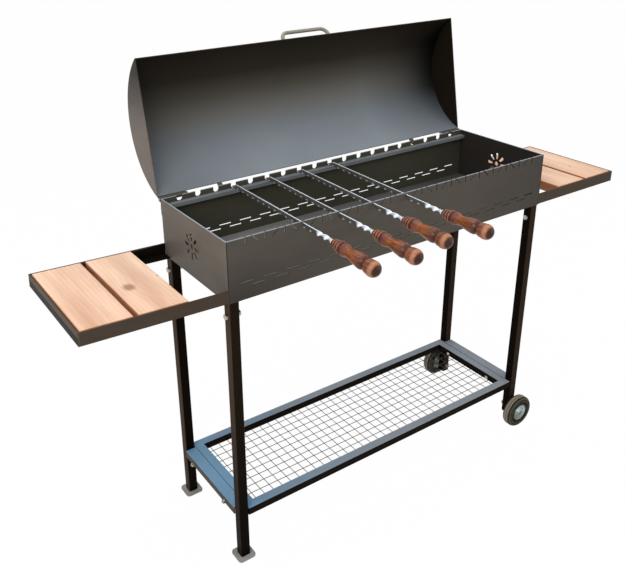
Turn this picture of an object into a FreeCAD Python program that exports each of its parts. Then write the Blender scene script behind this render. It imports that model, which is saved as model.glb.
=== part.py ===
import FreeCAD
import Part

import math
import os
import re
from types import SimpleNamespace

import Sketcher
from FreeCAD import Placement, Rotation, Vector

# Charcoal grill on four legs: a long firebox with skewer slots, a barrel lid, two side
# tables, a wire shelf and two wheels. Millimetres, +X along the firebox, -Y its front,
# +Z up. The origin is on the ground, in the middle of the whole grill's outline.

SIZES = [
    # Firebox
    ("middle_y", 64.15),
    ("box_length", 996),
    ("box_depth", 310),
    ("box_tall", 146.4),
    ("box_base", 726),
    ("sheet", 3),
    ("floor_lift", 5),
    ("skewer_pitch", 50),
    ("skewer_margin", 30),
    ("slit_wide", 4),
    ("slit_deep", 16.5),
    ("slant_wide", 3.6),
    ("slant_deep", 16),
    ("slant_start", 14),
    ("slant_run", 17),
    ("notch_wide", 15.2),
    ("notch_deep", 13.6),
    ("vent_long", 32),
    ("vent_tall", 3.4),
    ("vent_hole", 2.2),
    ("vent_pitch", 60),
    ("vent_margin", 12),
    ("vent_upper", 41),
    ("vent_lower", 31),
    ("ledge_wide", 15),
    ("ledge_lip", 9),
    ("ledge_sheet", 2),
    ("rosette_radius", 33),
    ("rosette_inner", 14),
    ("rosette_slot", 9),
    ("rosette_slots", 8),
    ("rosette_hole", 6.5),
    ("rosette_tall", 77),
    ("rosette_back", 5),
    # Legs
    ("leg_size", 25),
    ("leg_wall", 2),
    ("leg_round", 3),
    ("leg_inset_end", 1.3),
    ("socket_gap", 0.3),
    ("socket_tall", 58),
    ("socket_wall", 2),
    ("clamp_drop", 35.5),
    ("clamp_radius", 4),
    ("foot_size", 48),
    ("foot_thick", 5),
    ("foot_round", 9),
    ("hole_gap", 0.3),
    ("thread_gap", 0.05),
    ("head_radius", 7.4),
    ("head_tall", 6),
    ("spacer_radius", 8.5),
    ("nut_tall", 6.5),
    ("bolt_tail", 2),
    # Wheels
    ("wheel_radius", 50),
    ("wheel_wide", 29),
    ("wheel_gap", 8.5),
    ("tyre_round", 9),
    ("rim_radius", 25.5),
    ("rim_lip", 1.2),
    ("hub_radius", 8.5),
    ("hub_step", 3.5),
    ("hub_ring", 4.2),
    ("hub_drop", 1.4),
    ("axle_cap", 6),
    ("axle_cap_tall", 2),
    ("leg_short", 30),
    ("run_gap", 0.3),
    ("fit_gap", 0.05),
    # Shelf
    ("shelf_top", 147),
    ("rail_wide", 25),
    ("rail_tall", 21),
    ("rail_wall", 1.5),
    ("rail_round", 3),
    ("shelf_inset", 1.4),
    ("angle_sheet", 3),
    ("brace_wide", 29.6),
    ("brace_lip", 19),
    ("wire_radius", 0.9),
    ("mesh_long_pitch", 26.9),
    ("mesh_cross_pitch", 25.1),
    ("mesh_margin", 20),
    ("mesh_shift", 8),
    ("mesh_seat", 12),
    ("bolt_radius", 3),
    ("bolt_head", 6),
    ("bolt_head_tall", 4),
    ("bolt_spread", 83),
    ("bolt_drop", 12),
    # Side tables
    ("table_length", 329),
    ("table_drop", 2),
    ("angle_tall", 30),
    ("angle_wide", 30),
    ("table_tilt", 1.95),
    ("board_wide", 112),
    ("board_thick", 28),
    ("board_gap", 10),
    ("board_side_gap", 2.5),
    ("board_end_gap", 1.5),
    ("board_round", 2.5),
    # Lid
    ("lid_chord", 326.5),
    ("lid_rise", 97.5),
    ("lid_sheet", 2),
    ("lid_over", 2),
    ("lid_open", 100.5),
    ("lid_seat", 0.3),
    ("lid_back", 4),
    ("hinge_back", 9.4),
    ("hinge_drop", 4.4),
    ("hinge_outer", 37),
    ("hinge_middle", 22),
    ("hinge_inner", 15),
    ("hinge_clear", 2),
    ("pin_radius", 3),
    ("pin_head", 1.5),
    ("knuckle_radius", 5.5),
    ("leaf_sheet", 2.5),
    ("leaf_tall", 26),
    ("leaf_start", 6.5),
    ("stop_wide", 12),
    ("stop_reach", 8),
    ("stop_left", -331.5),
    ("stop_right", 306),
    ("handle_span", 145),
    ("handle_bend", 20),
    ("handle_reach", 35),
    ("handle_radius", 5),
    ("handle_angle", 8),
    # Skewers
    ("blade_tall", 12),
    ("blade_thick", 2.5),
    ("blade_past", 5),
    ("blade_point", 22),
    ("blade_gap", 0.3),
    ("twist_length", 48),
    ("twist_turn", 360),
    ("ferrule_radius", 7.4),
    ("ferrule_small", 3.8),
    ("ferrule_length", 10),
    ("reach_one", 238),
    ("reach_two", 250),
    ("reach_three", 233),
    ("reach_four", 255),
    ("droop_one", 4),
    ("droop_two", 2.5),
    ("droop_three", 1.5),
    ("droop_four", 0),
    ("ring_radius", 10.6),
    ("ring_grow", 2.05),
    ("ring_groove", 1.9),
    ("ring_start", 7),
    ("ring_pitch", 9.5),
    ("bulge_radius", 15.3),
    ("bulge_at", 37),
    ("waist_radius", 11.5),
    ("waist_at", 54),
    ("swell_radius", 16.8),
    ("swell_at", 93),
    ("neck_radius", 12),
    ("neck_at", 107),
    ("knob_radius", 17.9),
    ("knob_at", 128.5),
]

doc = FreeCAD.newDocument("grill")
sheet = doc.addObject("Spreadsheet::Sheet", "Sizes")
for row, (alias, number) in enumerate(SIZES, start=1):
    sheet.set(f"A{row}", alias.replace("_", " "))
    sheet.set(f"B{row}", str(number))
    sheet.setAlias(f"B{row}", alias)
doc.recompute()

s = SimpleNamespace(**{alias: float(sheet.get(alias)) for alias, _ in SIZES})
NAMES = {alias for alias, _ in SIZES}
subparts = []


def link(text):
    """A formula in the sheet's aliases, as an expression of the document."""
    return re.sub(r"[a-z][a-z_]*", lambda m: f"Sizes.{m[0]}" if m[0] in NAMES else m[0], text)


def at(x=0, y=0, z=0, axis=None, angle=0):
    turn = Rotation(axis, angle) if axis else Rotation()
    return Placement(Vector(x, y, z), turn)


X_AXIS = Vector(1, 0, 0)
Y_AXIS = Vector(0, 1, 0)
ALONG_X = Rotation(Y_AXIS, 90)
ALONG_Y = Rotation(X_AXIS, -90)
SHIFT = at(0, s.middle_y, 0)


def solid(kind, name, placement=None, **sizes):
    """A primitive whose sizes follow the sheet."""
    piece = doc.addObject(kind, name)
    for prop, text in sizes.items():
        piece.setExpression(prop, link(text))
    if placement:
        piece.Placement = placement
    return piece


def box(name, length, width, height, x, y, z):
    return solid("Part::Box", name, at(x, y, z), Length=length, Width=width, Height=height)


def rod(name, radius, height, base, turn=None):
    place = Placement(Vector(*base), turn or Rotation())
    return solid("Part::Cylinder", name, place, Radius=radius, Height=height)


def hexagon(name, radius, height, base, turn=None):
    place = Placement(Vector(*base), turn or Rotation())
    piece = solid("Part::Prism", name, place, Circumradius=radius, Height=height)
    piece.Polygon = 6
    return piece


def fuse(name, pieces):
    joined = doc.addObject("Part::MultiFuse", name)
    joined.Shapes = pieces
    return joined


def cut(name, base, tool):
    result = doc.addObject("Part::Cut", name)
    result.Base = base
    result.Tool = tool
    return result


def group(name, pieces):
    together = doc.addObject("Part::Compound", name)
    together.Links = pieces
    return together


def finish(piece, node, placement=None):
    """Name a sub-part, and move it from the firebox's middle to the origin's frame."""
    piece.Label = node
    piece.Placement = SHIFT * (placement or piece.Placement)
    subparts.append(piece)
    return piece


# Bodies and their sketches


def new_body(node):
    body = doc.addObject("PartDesign::Body", node)
    body.Label = node
    return body


def new_sketch(body, name, role, depth=0):
    sketch = body.newObject("Sketcher::SketchObject", name)
    support = next(f for f in body.Origin.OriginFeatures if f.Role == role)
    sketch.AttachmentSupport = (support, [""])
    sketch.MapMode = "FlatFace"
    if depth:
        sketch.AttachmentOffset = at(0, 0, depth)
    return sketch


def pin_point(sketch, geometry, point, x, y):
    """Tie a point of the sketch to two formulas, measured from its origin."""
    for kind, text in (("DistanceX", x), ("DistanceY", y)):
        where = sketch.getPoint(geometry, point)
        now = where.x if kind == "DistanceX" else where.y
        number = sketch.addConstraint(Sketcher.Constraint(kind, -1, 1, geometry, point, now))
        sketch.setExpression(f"Constraints[{number}]", link(text))


def polygon(sketch, points):
    """Closed outline through points given as pairs of formulas."""
    count = len(points)
    start = sketch.GeometryCount
    ring = [
        Vector(10 * math.cos(2 * math.pi * i / count), 10 * math.sin(2 * math.pi * i / count))
        for i in range(count)
    ]
    for i in range(count):
        sketch.addGeometry(Part.LineSegment(ring[i], ring[(i + 1) % count]))
    for i in range(count):
        following = start + (i + 1) % count
        sketch.addConstraint(Sketcher.Constraint("Coincident", start + i, 2, following, 1))
        pin_point(sketch, start + i, 1, *points[i])


def rectangle(sketch, x0, y0, x1, y1):
    polygon(sketch, [(x0, y0), (x1, y0), (x1, y1), (x0, y1)])


def circle(sketch, radius, x="0", y="0"):
    geometry = sketch.addGeometry(Part.Circle(Vector(1, 1, 0), Vector(0, 0, 1), 5))
    number = sketch.addConstraint(Sketcher.Constraint("Radius", geometry, 5))
    sketch.setExpression(f"Constraints[{number}]", link(radius))
    pin_point(sketch, geometry, 3, x, y)


def pad(body, sketch, length, middle=False):
    feature = body.newObject("PartDesign::Pad", "Pad")
    feature.Profile = sketch
    feature.setExpression("Length", link(length))
    if middle:
        feature.SideType = "Symmetric"
    return feature


def pocket(body, sketch):
    """Cut right through, both ways from the sketch, and make sure that it removed something."""
    doc.recompute()
    before = body.Shape.Volume
    feature = body.newObject("PartDesign::Pocket", "Pocket")
    feature.Profile = sketch
    feature.Type = "ThroughAll"
    feature.SideType = "Symmetric"
    doc.recompute()
    if body.Shape.Volume > before - 1:
        raise ValueError(f"a pocket in {body.Label} cuts nothing")
    return feature


def row_of(body, features, sketch, length, count):
    pattern = body.newObject("PartDesign::LinearPattern", "Row")
    pattern.Originals = features
    pattern.Direction = (sketch, ["H_Axis"])
    pattern.setExpression("Length", link(length))
    pattern.setExpression("Occurrences", link(count))
    body.Tip = pattern
    return pattern


def round_edges(body, feature, edges, radius):
    doc.recompute()
    names = [f"Edge{i}" for i, e in enumerate(feature.Shape.Edges, start=1) if edges(e)]
    fillet = body.newObject("PartDesign::Fillet", "Fillet")
    fillet.Base = (feature, names)
    fillet.setExpression("Radius", link(radius))
    return fillet


def upright(edge):
    ends = [v.Point for v in edge.Vertexes]
    return len(ends) == 2 and abs(ends[0].z - ends[1].z) > 1


# Firebox: heights and faces that the other pieces line up with

BOX_X = s.box_length / 2
BOX_Y = s.box_depth / 2
BOX_TOP = s.box_base + s.box_tall
FLOOR = s.box_base + s.floor_lift
STUB_HALF = s.leg_size / 2 - s.leg_wall - s.socket_gap
LEG_X = BOX_X - s.sheet - s.leg_inset_end - STUB_HALF
LEG_Y = BOX_Y - s.sheet - STUB_HALF
LEG_FACE = LEG_Y + s.leg_size / 2

HALF_WALL = "(box_length / 2 - sheet)"
PAIRS = "floor((box_length / 2 - sheet - skewer_margin) / skewer_pitch)"
FIRST = f"(-skewer_pitch * {PAIRS})"
RUN = f"2 * skewer_pitch * {PAIRS}"
PLACES = f"1 + 2 * {PAIRS}"
VENTS = "floor((box_length - 2 * vent_margin) / vent_pitch)"


def vent_rows(body):
    """Two rows of flat slots with a round end, the lower row half a pitch aside."""
    for height, places in (("vent_upper", VENTS), ("vent_lower", f"{VENTS} - 1")):
        first = f"(-vent_pitch * ({places} - 1) / 2)"
        sketch = new_sketch(body, "VentSketch", "XZ_Plane")
        rectangle(
            sketch,
            f"{first} - vent_long / 2",
            f"{height} - vent_tall / 2",
            f"{first} + vent_long / 2",
            f"{height} + vent_tall / 2",
        )
        slot = pocket(body, sketch)
        ring = new_sketch(body, "VentHoleSketch", "XZ_Plane")
        circle(ring, "vent_hole", f"{first} + vent_long / 2", height)
        hole = pocket(body, ring)
        row_of(body, [slot, hole], sketch, f"vent_pitch * ({places} - 1)", places)


def firebox_wall(node):
    body = new_body(node)
    sketch = new_sketch(body, "WallSketch", "XZ_Plane")
    rectangle(sketch, f"-{HALF_WALL}", "0", HALF_WALL, "box_tall")
    pad(body, sketch, "sheet")
    return body


def front_wall():
    body = firebox_wall("firebox_front")
    slit = new_sketch(body, "SlitSketch", "XZ_Plane")
    rectangle(
        slit,
        f"{FIRST} - slit_wide / 2",
        "box_tall - slit_deep",
        f"{FIRST} + slit_wide / 2",
        "box_tall + 1",
    )
    row_of(body, [pocket(body, slit)], slit, RUN, PLACES)
    slant = new_sketch(body, "SlantSketch", "XZ_Plane")
    low = "box_tall - slant_deep"
    top = "box_tall + 1"
    near = f"{FIRST} + slant_start"
    far = f"{FIRST} + 2 * skewer_pitch - slant_start"
    reach = "slant_run * (1 + 1 / slant_deep)"
    polygon(
        slant,
        [
            (f"{near} + slant_run", low),
            (f"{near} + slant_run + slant_wide", low),
            (f"{near} + slant_run + slant_wide - {reach}", top),
            (f"{near} + slant_run - {reach}", top),
        ],
    )
    polygon(
        slant,
        [
            (f"{far} - slant_run", low),
            (f"{far} - slant_run - slant_wide", low),
            (f"{far} - slant_run - slant_wide + {reach}", top),
            (f"{far} - slant_run + {reach}", top),
        ],
    )
    row_of(body, [pocket(body, slant)], slant, f"2 * skewer_pitch * ({PAIRS} - 1)", PAIRS)
    vent_rows(body)
    finish(body, "firebox_front", at(0, s.sheet - BOX_Y, s.box_base))


def back_wall():
    body = firebox_wall("firebox_back")
    neck = new_sketch(body, "NotchSketch", "XZ_Plane")
    rectangle(
        neck,
        f"{FIRST} - notch_wide / 2",
        "box_tall - notch_deep + notch_wide / 2",
        f"{FIRST} + notch_wide / 2",
        "box_tall + 1",
    )
    neck_cut = pocket(body, neck)
    bowl = new_sketch(body, "BowlSketch", "XZ_Plane")
    circle(bowl, "notch_wide / 2", FIRST, "box_tall - notch_deep + notch_wide / 2")
    bowl_cut = pocket(body, bowl)
    row_of(body, [neck_cut, bowl_cut], neck, RUN, PLACES)
    vent_rows(body)
    finish(body, "firebox_back", at(0, BOX_Y, s.box_base))


def end_wall(node, x):
    """End plate with a vent rosette: a ring of round-ended slots about a hole."""
    body = new_body(node)
    sketch = new_sketch(body, "PlateSketch", "YZ_Plane")
    rectangle(sketch, "-box_depth / 2", "0", "box_depth / 2", "box_tall")
    pad(body, sketch, "sheet")
    hole = new_sketch(body, "HoleSketch", "YZ_Plane")
    circle(hole, "rosette_hole", "rosette_back", "rosette_tall")
    pocket(body, hole)
    count = round(s.rosette_slots)
    for i in range(count):
        turn = f"(360 * {i} / rosette_slots)"
        slot = new_sketch(body, "SlotSketch", "YZ_Plane")
        corners = (
            ("rosette_inner", "-0.28"),
            ("(rosette_radius - rosette_slot / 2)", "-0.5"),
            ("(rosette_radius - rosette_slot / 2)", "0.5"),
            ("rosette_inner", "0.28"),
        )
        points = []
        for along, side in corners:
            across = f"{side} * rosette_slot"
            points.append(
                (
                    f"rosette_back + {along} * cos({turn}) - {across} * sin({turn})",
                    f"rosette_tall + {along} * sin({turn}) + {across} * cos({turn})",
                )
            )
        polygon(slot, points)
        pocket(body, slot)
        tip = new_sketch(body, "TipSketch", "YZ_Plane")
        along = "(rosette_radius - rosette_slot / 2)"
        circle(
            tip,
            "rosette_slot / 2",
            f"rosette_back + {along} * cos({turn})",
            f"rosette_tall + {along} * sin({turn})",
        )
        pocket(body, tip)
    finish(body, node, at(x, 0, s.box_base))


def ledge_rail():
    """Angle along the back wall's inner face, level with the notches' lowest points."""
    body = new_body("ledge_rail")
    sketch = new_sketch(body, "RailSketch", "YZ_Plane")
    polygon(
        sketch,
        [
            ("0", "0"),
            ("0", "-ledge_sheet"),
            ("ledge_sheet - ledge_wide", "-ledge_sheet"),
            ("ledge_sheet - ledge_wide", "-ledge_lip"),
            ("-ledge_wide", "-ledge_lip"),
            ("-ledge_wide", "0"),
        ],
    )
    pad(body, sketch, "box_length - 2 * sheet")
    finish(body, "ledge_rail", at(s.sheet - BOX_X, BOX_Y - s.sheet, BOX_TOP - s.notch_deep))


front_wall()
back_wall()
end_wall("firebox_end_left", -BOX_X)
end_wall("firebox_end_right", BOX_X - s.sheet)
ledge_rail()
finish(
    box(
        "FloorPlate",
        "box_length - 2 * sheet",
        "box_depth - 2 * sheet",
        "sheet",
        s.sheet - BOX_X,
        s.sheet - BOX_Y,
        FLOOR,
    ),
    "firebox_floor",
)

# Legs, their sockets under the firebox, and the clamping bolts

CLAMP_Z = s.box_base - s.clamp_drop
CORNERS = [
    ("front_left", -1, -1),
    ("back_left", -1, 1),
    ("front_right", 1, -1),
    ("back_right", 1, 1),
]


def leg(node, x, y, foot):
    """Square tube up to the firebox's lower edge, drilled for its bolt and its axle."""
    body = new_body(node)
    outer = new_sketch(body, "OuterSketch", "XY_Plane")
    rectangle(outer, "-leg_size / 2", "-leg_size / 2", "leg_size / 2", "leg_size / 2")
    tube = pad(body, outer, f"box_base - {foot}")
    round_edges(body, tube, upright, "leg_round")
    inner = new_sketch(body, "InnerSketch", "XY_Plane")
    half = "(leg_size / 2 - leg_wall)"
    rectangle(inner, f"-{half}", f"-{half}", half, half)
    pocket(body, inner)
    clamp = new_sketch(body, "ClampSketch", "YZ_Plane")
    circle(clamp, "clamp_radius + hole_gap", "0", f"box_base - clamp_drop - {foot}")
    pocket(body, clamp)
    if foot == "leg_short":
        axle = new_sketch(body, "AxleSketch", "XZ_Plane")
        circle(axle, "clamp_radius + hole_gap", "0", f"wheel_radius - {foot}")
        pocket(body, axle)
    finish(body, node, at(x, y, getattr(s, foot)))


def socket(index, x, y):
    """Stub tube welded under the firebox's floor, inside the leg's top."""
    side = "(leg_size - 2 * leg_wall - 2 * socket_gap)"
    low = FLOOR - s.socket_tall
    outer = box(f"Stub{index}", side, side, "socket_tall", x - STUB_HALF, y - STUB_HALF, low)
    bore = f"{side} - 2 * socket_wall"
    inset = STUB_HALF - s.socket_wall
    inner = box(f"StubBore{index}", bore, bore, "socket_tall", x - inset, y - inset, low)
    hollow = cut(f"StubTube{index}", outer, inner)
    base = (x - s.leg_size / 2, y, CLAMP_Z)
    drill = rod(f"StubDrill{index}", "clamp_radius + hole_gap", "leg_size", base, ALONG_X)
    return cut(f"Socket{index}", hollow, drill)


def bolt(name, radius, length, head, head_tall, base, turn):
    """Hexagon head and shank in one piece: base is where the head meets the work."""
    start = Vector(*base)
    seat = start - turn.multVec(Vector(0, 0, 1)) * getattr(s, head_tall)
    head_piece = hexagon(f"{name}Head", head, head_tall, seat, turn)
    return fuse(name, [head_piece, rod(f"{name}Shank", radius, length, start, turn)])


def nut(name, radius, bore, tall, base, turn):
    body = hexagon(f"{name}Body", radius, tall, base, turn)
    hole = rod(f"{name}Bore", f"{bore} + thread_gap", tall, base, turn)
    return cut(name, body, hole)


sockets = []
clamp_bolts = []
clamp_nuts = []
for index, (corner, side, face) in enumerate(CORNERS, start=1):
    x = side * LEG_X
    y = face * LEG_Y
    leg(f"leg_{corner}", x, y, "leg_short" if side > 0 else "foot_thick")
    sockets.append(socket(index, x, y))
    base = (x - s.leg_size / 2, y, CLAMP_Z)
    # On the left a nut holds the bolt; on the right it is screwed into the leg's far wall
    shank = "leg_size - leg_wall / 2" if side > 0 else "leg_size + nut_tall + bolt_tail"
    clamp_bolts.append(
        bolt(f"Clamp{index}", "clamp_radius", shank, "head_radius", "head_tall", base, ALONG_X)
    )
    if side < 0:
        seat = (x + s.leg_size / 2, y, CLAMP_Z)
        clamp_nuts.append(
            nut(f"ClampNut{index}", "head_radius", "clamp_radius", "nut_tall", seat, ALONG_X)
        )
finish(group("Sockets", sockets), "leg_sockets")
finish(group("Clamps", clamp_bolts), "leg_bolts")
finish(group("ClampNuts", clamp_nuts), "leg_nuts")

for corner, face in (("front", -1), ("back", 1)):
    body = new_body(f"foot_{corner}")
    sketch = new_sketch(body, "FootSketch", "XY_Plane")
    rectangle(sketch, "-foot_size / 2", "-foot_size / 2", "foot_size / 2", "foot_size / 2")
    plate = pad(body, sketch, "foot_thick")
    round_edges(body, plate, upright, "foot_round")
    finish(body, f"foot_{corner}", at(-LEG_X, face * LEG_Y, 0))

# Wheels: tyre and hub turn on a bolt through the short legs

WHEEL_Y = LEG_FACE + s.wheel_gap + s.wheel_wide / 2


def revolve(body, sketch):
    feature = body.newObject("PartDesign::Revolution", "Revolution")
    feature.Profile = sketch
    feature.ReferenceAxis = (sketch, ["V_Axis"])
    feature.Angle = 360
    return feature


def wheel(name, face):
    """The wheel's outer side faces away from the leg: its own +Y, turned round in front."""
    turn = Rotation(Vector(0, 0, 1), 0 if face > 0 else 180)
    place = Placement(Vector(LEG_X, face * WHEEL_Y, s.wheel_radius), turn)
    half = "(wheel_wide / 2)"
    tyre = new_body(f"{name}_tyre")
    profile = new_sketch(tyre, "TyreSketch", "XY_Plane")
    bore = "rim_radius + fit_gap"
    polygon(
        profile,
        [
            (bore, f"2 - {half}"),
            (f"{bore} + 3", f"-{half}"),
            ("wheel_radius - tyre_round", f"-{half}"),
            ("wheel_radius - 0.3 * tyre_round", f"0.3 * tyre_round - {half}"),
            ("wheel_radius", f"tyre_round - {half}"),
            ("wheel_radius", f"{half} - tyre_round"),
            ("wheel_radius - 0.3 * tyre_round", f"{half} - 0.3 * tyre_round"),
            ("wheel_radius - tyre_round", half),
            (f"{bore} + 3", half),
            (bore, f"{half} - 2"),
        ],
    )
    revolve(tyre, profile)
    finish(tyre, f"{name}_tyre", place)
    hub = new_body(f"{name}_hub")
    profile = new_sketch(hub, "HubSketch", "XY_Plane")
    bore = "clamp_radius + fit_gap"
    side = [("hub_radius", "hub_step")]
    for i in range(1, 4):
        side.append((f"hub_radius + {i - 1} * hub_ring + 0.6", f"hub_step - {i} * hub_drop"))
        side.append((f"hub_radius + {i} * hub_ring", f"hub_step - {i} * hub_drop"))
    side.append(("hub_radius + 3 * hub_ring + 0.6", "hub_step - 4 * hub_drop"))
    side.append(("rim_radius - 1.6", "hub_step - 4 * hub_drop"))
    side.append(("rim_radius - 1", "-rim_lip"))
    side.append(("rim_radius", "-rim_lip"))
    side = [(bore, "hub_step")] + side
    polygon(
        profile,
        [(radius, f"{half} + {step}") for radius, step in reversed(side)]
        + [(radius, f"-{half} - ({step})") for radius, step in side],
    )
    revolve(hub, profile)
    finish(hub, f"{name}_hub", place)
    # The axle: a flat-headed bolt from outside, a spacer at the leg and a nut inside it
    outside = WHEEL_Y + s.wheel_wide / 2 + s.hub_step + s.run_gap
    cap_end = outside + s.axle_cap_tall
    inside = LEG_Y - s.leg_size / 2
    inward = Rotation(X_AXIS, 90 if face > 0 else -90)
    length = "wheel_wide + hub_step + run_gap + wheel_gap + leg_size + nut_tall + 3"
    seat = (LEG_X, face * outside, s.wheel_radius)
    top = (LEG_X, face * cap_end, s.wheel_radius)
    shank = rod(f"{name}Shank", "clamp_radius", length, seat, inward)
    cap = rod(f"{name}Cap", "axle_cap", "axle_cap_tall", top, inward)
    spacer_end = LEG_FACE + s.wheel_gap - s.hub_step - s.run_gap
    spacer = rod(
        f"{name}Spacer",
        "spacer_radius",
        "wheel_gap - hub_step - run_gap",
        (LEG_X, face * spacer_end, s.wheel_radius),
        inward,
    )
    axle = fuse(f"{name}Axle", [shank, cap, spacer])
    lock = nut(
        f"{name}Nut",
        "head_radius",
        "clamp_radius",
        "nut_tall",
        (LEG_X, face * inside, s.wheel_radius),
        inward,
    )
    finish(group(f"{name}AxleSet", [axle, lock]), f"{name}_axle")


wheel("wheel_front", -1)
wheel("wheel_back", 1)

# Lower shelf: a frame of tube with a wire mesh, bolted between two angle cross-bars

SHELF_X = BOX_X - s.brace_wide
SHELF_Y = BOX_Y - s.shelf_inset
RAIL_LOW = s.shelf_top - s.rail_tall
SHELF_LENGTH = "(box_length - 2 * brace_wide)"
SHELF_DEPTH = "(box_depth - 2 * shelf_inset - 2 * rail_wide)"


def rounded(blank, along):
    """The blank with its two long edges on the shelf's outer side rounded."""
    doc.recompute()
    side = 1 - along
    far = max(abs(edge.CenterOfMass[side]) for edge in blank.Shape.Edges)
    marked = []
    for number, edge in enumerate(blank.Shape.Edges, start=1):
        way = edge.tangentAt(edge.FirstParameter)[along]
        if abs(way) > 0.9 and abs(edge.CenterOfMass[side]) > far - 0.001:
            marked.append((number, s.rail_round, s.rail_round))
    result = doc.addObject("Part::Fillet", f"{blank.Name}Round")
    result.Base = blank
    result.Edges = marked
    return result


def long_rail(node, y):
    outer = box(f"{node}Outer", SHELF_LENGTH, "rail_wide", "rail_tall", -SHELF_X, y, RAIL_LOW)
    outer = rounded(outer, 0)
    inner = box(
        f"{node}Inner",
        SHELF_LENGTH,
        "rail_wide - 2 * rail_wall",
        "rail_tall - 2 * rail_wall",
        -SHELF_X,
        y + s.rail_wall,
        RAIL_LOW + s.rail_wall,
    )
    finish(cut(f"{node}Tube", outer, inner), node)


def end_rail(node, x):
    y = s.rail_wide - SHELF_Y
    outer = box(f"{node}Outer", "rail_wide", SHELF_DEPTH, "rail_tall", x, y, RAIL_LOW)
    outer = rounded(outer, 1)
    inner = box(
        f"{node}Inner",
        "rail_wide - 2 * rail_wall",
        SHELF_DEPTH,
        "rail_tall - 2 * rail_wall",
        x + s.rail_wall,
        y,
        RAIL_LOW + s.rail_wall,
    )
    tube = cut(f"{node}Tube", outer, inner)
    for k, place in enumerate((-s.bolt_spread, s.bolt_spread)):
        base = (x, place, s.shelf_top - s.bolt_drop)
        drill = rod(f"{node}Drill{k}", "bolt_radius + hole_gap", "rail_wide", base, ALONG_X)
        tube = cut(f"{node}Drilled{k}", tube, drill)
    finish(tube, node)


def cross_bar(node, side):
    """Angle between the legs: flat flange on top, its lip hanging outside."""
    stub = "(leg_size - 2 * leg_wall - 2 * socket_gap)"
    length = f"(box_depth - 2 * sheet - {stub} - leg_size)"
    start = s.leg_size / 2 - LEG_Y
    low_x = SHELF_X if side > 0 else -BOX_X
    top = box(
        f"{node}Top",
        "brace_wide",
        length,
        "angle_sheet",
        low_x,
        start,
        s.shelf_top - s.angle_sheet,
    )
    lip_x = BOX_X - s.angle_sheet if side > 0 else -BOX_X
    lip = box(
        f"{node}Lip", "angle_sheet", length, "brace_lip", lip_x, start, s.shelf_top - s.brace_lip
    )
    bar = fuse(f"{node}Angle", [top, lip])
    for k, place in enumerate((-s.bolt_spread, s.bolt_spread)):
        base = (lip_x, place, s.shelf_top - s.bolt_drop)
        drill = rod(f"{node}Drill{k}", "bolt_radius + hole_gap", "angle_sheet", base, ALONG_X)
        bar = cut(f"{node}Drilled{k}", bar, drill)
    finish(bar, node)


long_rail("shelf_rail_front", -SHELF_Y)
long_rail("shelf_rail_back", SHELF_Y - s.rail_wide)
end_rail("shelf_rail_left", -SHELF_X)
end_rail("shelf_rail_right", SHELF_X - s.rail_wide)
cross_bar("shelf_cross_bar_left", -1)
cross_bar("shelf_cross_bar_right", 1)

shelf_bolts = []
shelf_nuts = []
for side in (-1, 1):
    for face in (-1, 1):
        tag = f"Shelf{'L' if side < 0 else 'R'}{'F' if face < 0 else 'B'}"
        height = s.shelf_top - s.bolt_drop
        outward = Rotation(Y_AXIS, 90 * side)
        base = (side * (SHELF_X - s.rail_wide), face * s.bolt_spread, height)
        length = "rail_wide + brace_wide + nut_tall + 2"
        shelf_bolts.append(
            bolt(f"{tag}Bolt", "bolt_radius", length, "bolt_head", "bolt_head_tall", base, outward)
        )
        base = (side * BOX_X, face * s.bolt_spread, height)
        shelf_nuts.append(
            nut(f"{tag}Nut", "bolt_head", "bolt_radius", "nut_tall", base, outward)
        )
finish(group("ShelfBolts", shelf_bolts), "shelf_bolts")
finish(group("ShelfNuts", shelf_nuts), "shelf_nuts")


def mesh():
    """Welded mesh under the rails: long wires against the rails, cross wires below them."""
    wires = []
    open_x = SHELF_X - s.rail_wide
    open_y = SHELF_Y - s.rail_wide
    long_wires = 1 + math.floor((2 * open_y - s.mesh_margin) / s.mesh_cross_pitch)
    cross_wires = 1 + math.floor((2 * open_x - s.mesh_margin) / s.mesh_long_pitch)
    long_length = "box_length - 2 * brace_wide - 2 * rail_wide + 2 * mesh_seat"
    cross_length = "box_depth - 2 * shelf_inset - 2 * rail_wide + 2 * mesh_seat"
    for j in range(long_wires):
        y = (j - (long_wires - 1) / 2) * s.mesh_cross_pitch
        base = (-open_x - s.mesh_seat, y, RAIL_LOW - s.wire_radius)
        wires.append(rod(f"LongWire{j}", "wire_radius", long_length, base, ALONG_X))
    for i in range(cross_wires):
        x = (i - (cross_wires - 1) / 2) * s.mesh_long_pitch + s.mesh_shift
        base = (x, -open_y - s.mesh_seat, RAIL_LOW - 3 * s.wire_radius)
        wires.append(rod(f"CrossWire{i}", "wire_radius", cross_length, base, ALONG_Y))
    finish(group("Mesh", wires), "shelf_mesh")


mesh()

# Side tables: three lengths of angle welded to the end plate, and two loose-laid boards

TABLE_LOW = s.box_base + s.table_drop


def table_place(side):
    """Frame of a table: its own +X runs outwards. The left one tips up a little."""
    turn = Rotation(Vector(0, 0, 1), 0 if side > 0 else 180)
    corner = Vector(side * BOX_X, 0, TABLE_LOW + s.angle_tall)
    tilt = Rotation(Y_AXIS, s.table_tilt if side < 0 else 0)
    return Placement(corner, tilt * turn)


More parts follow.
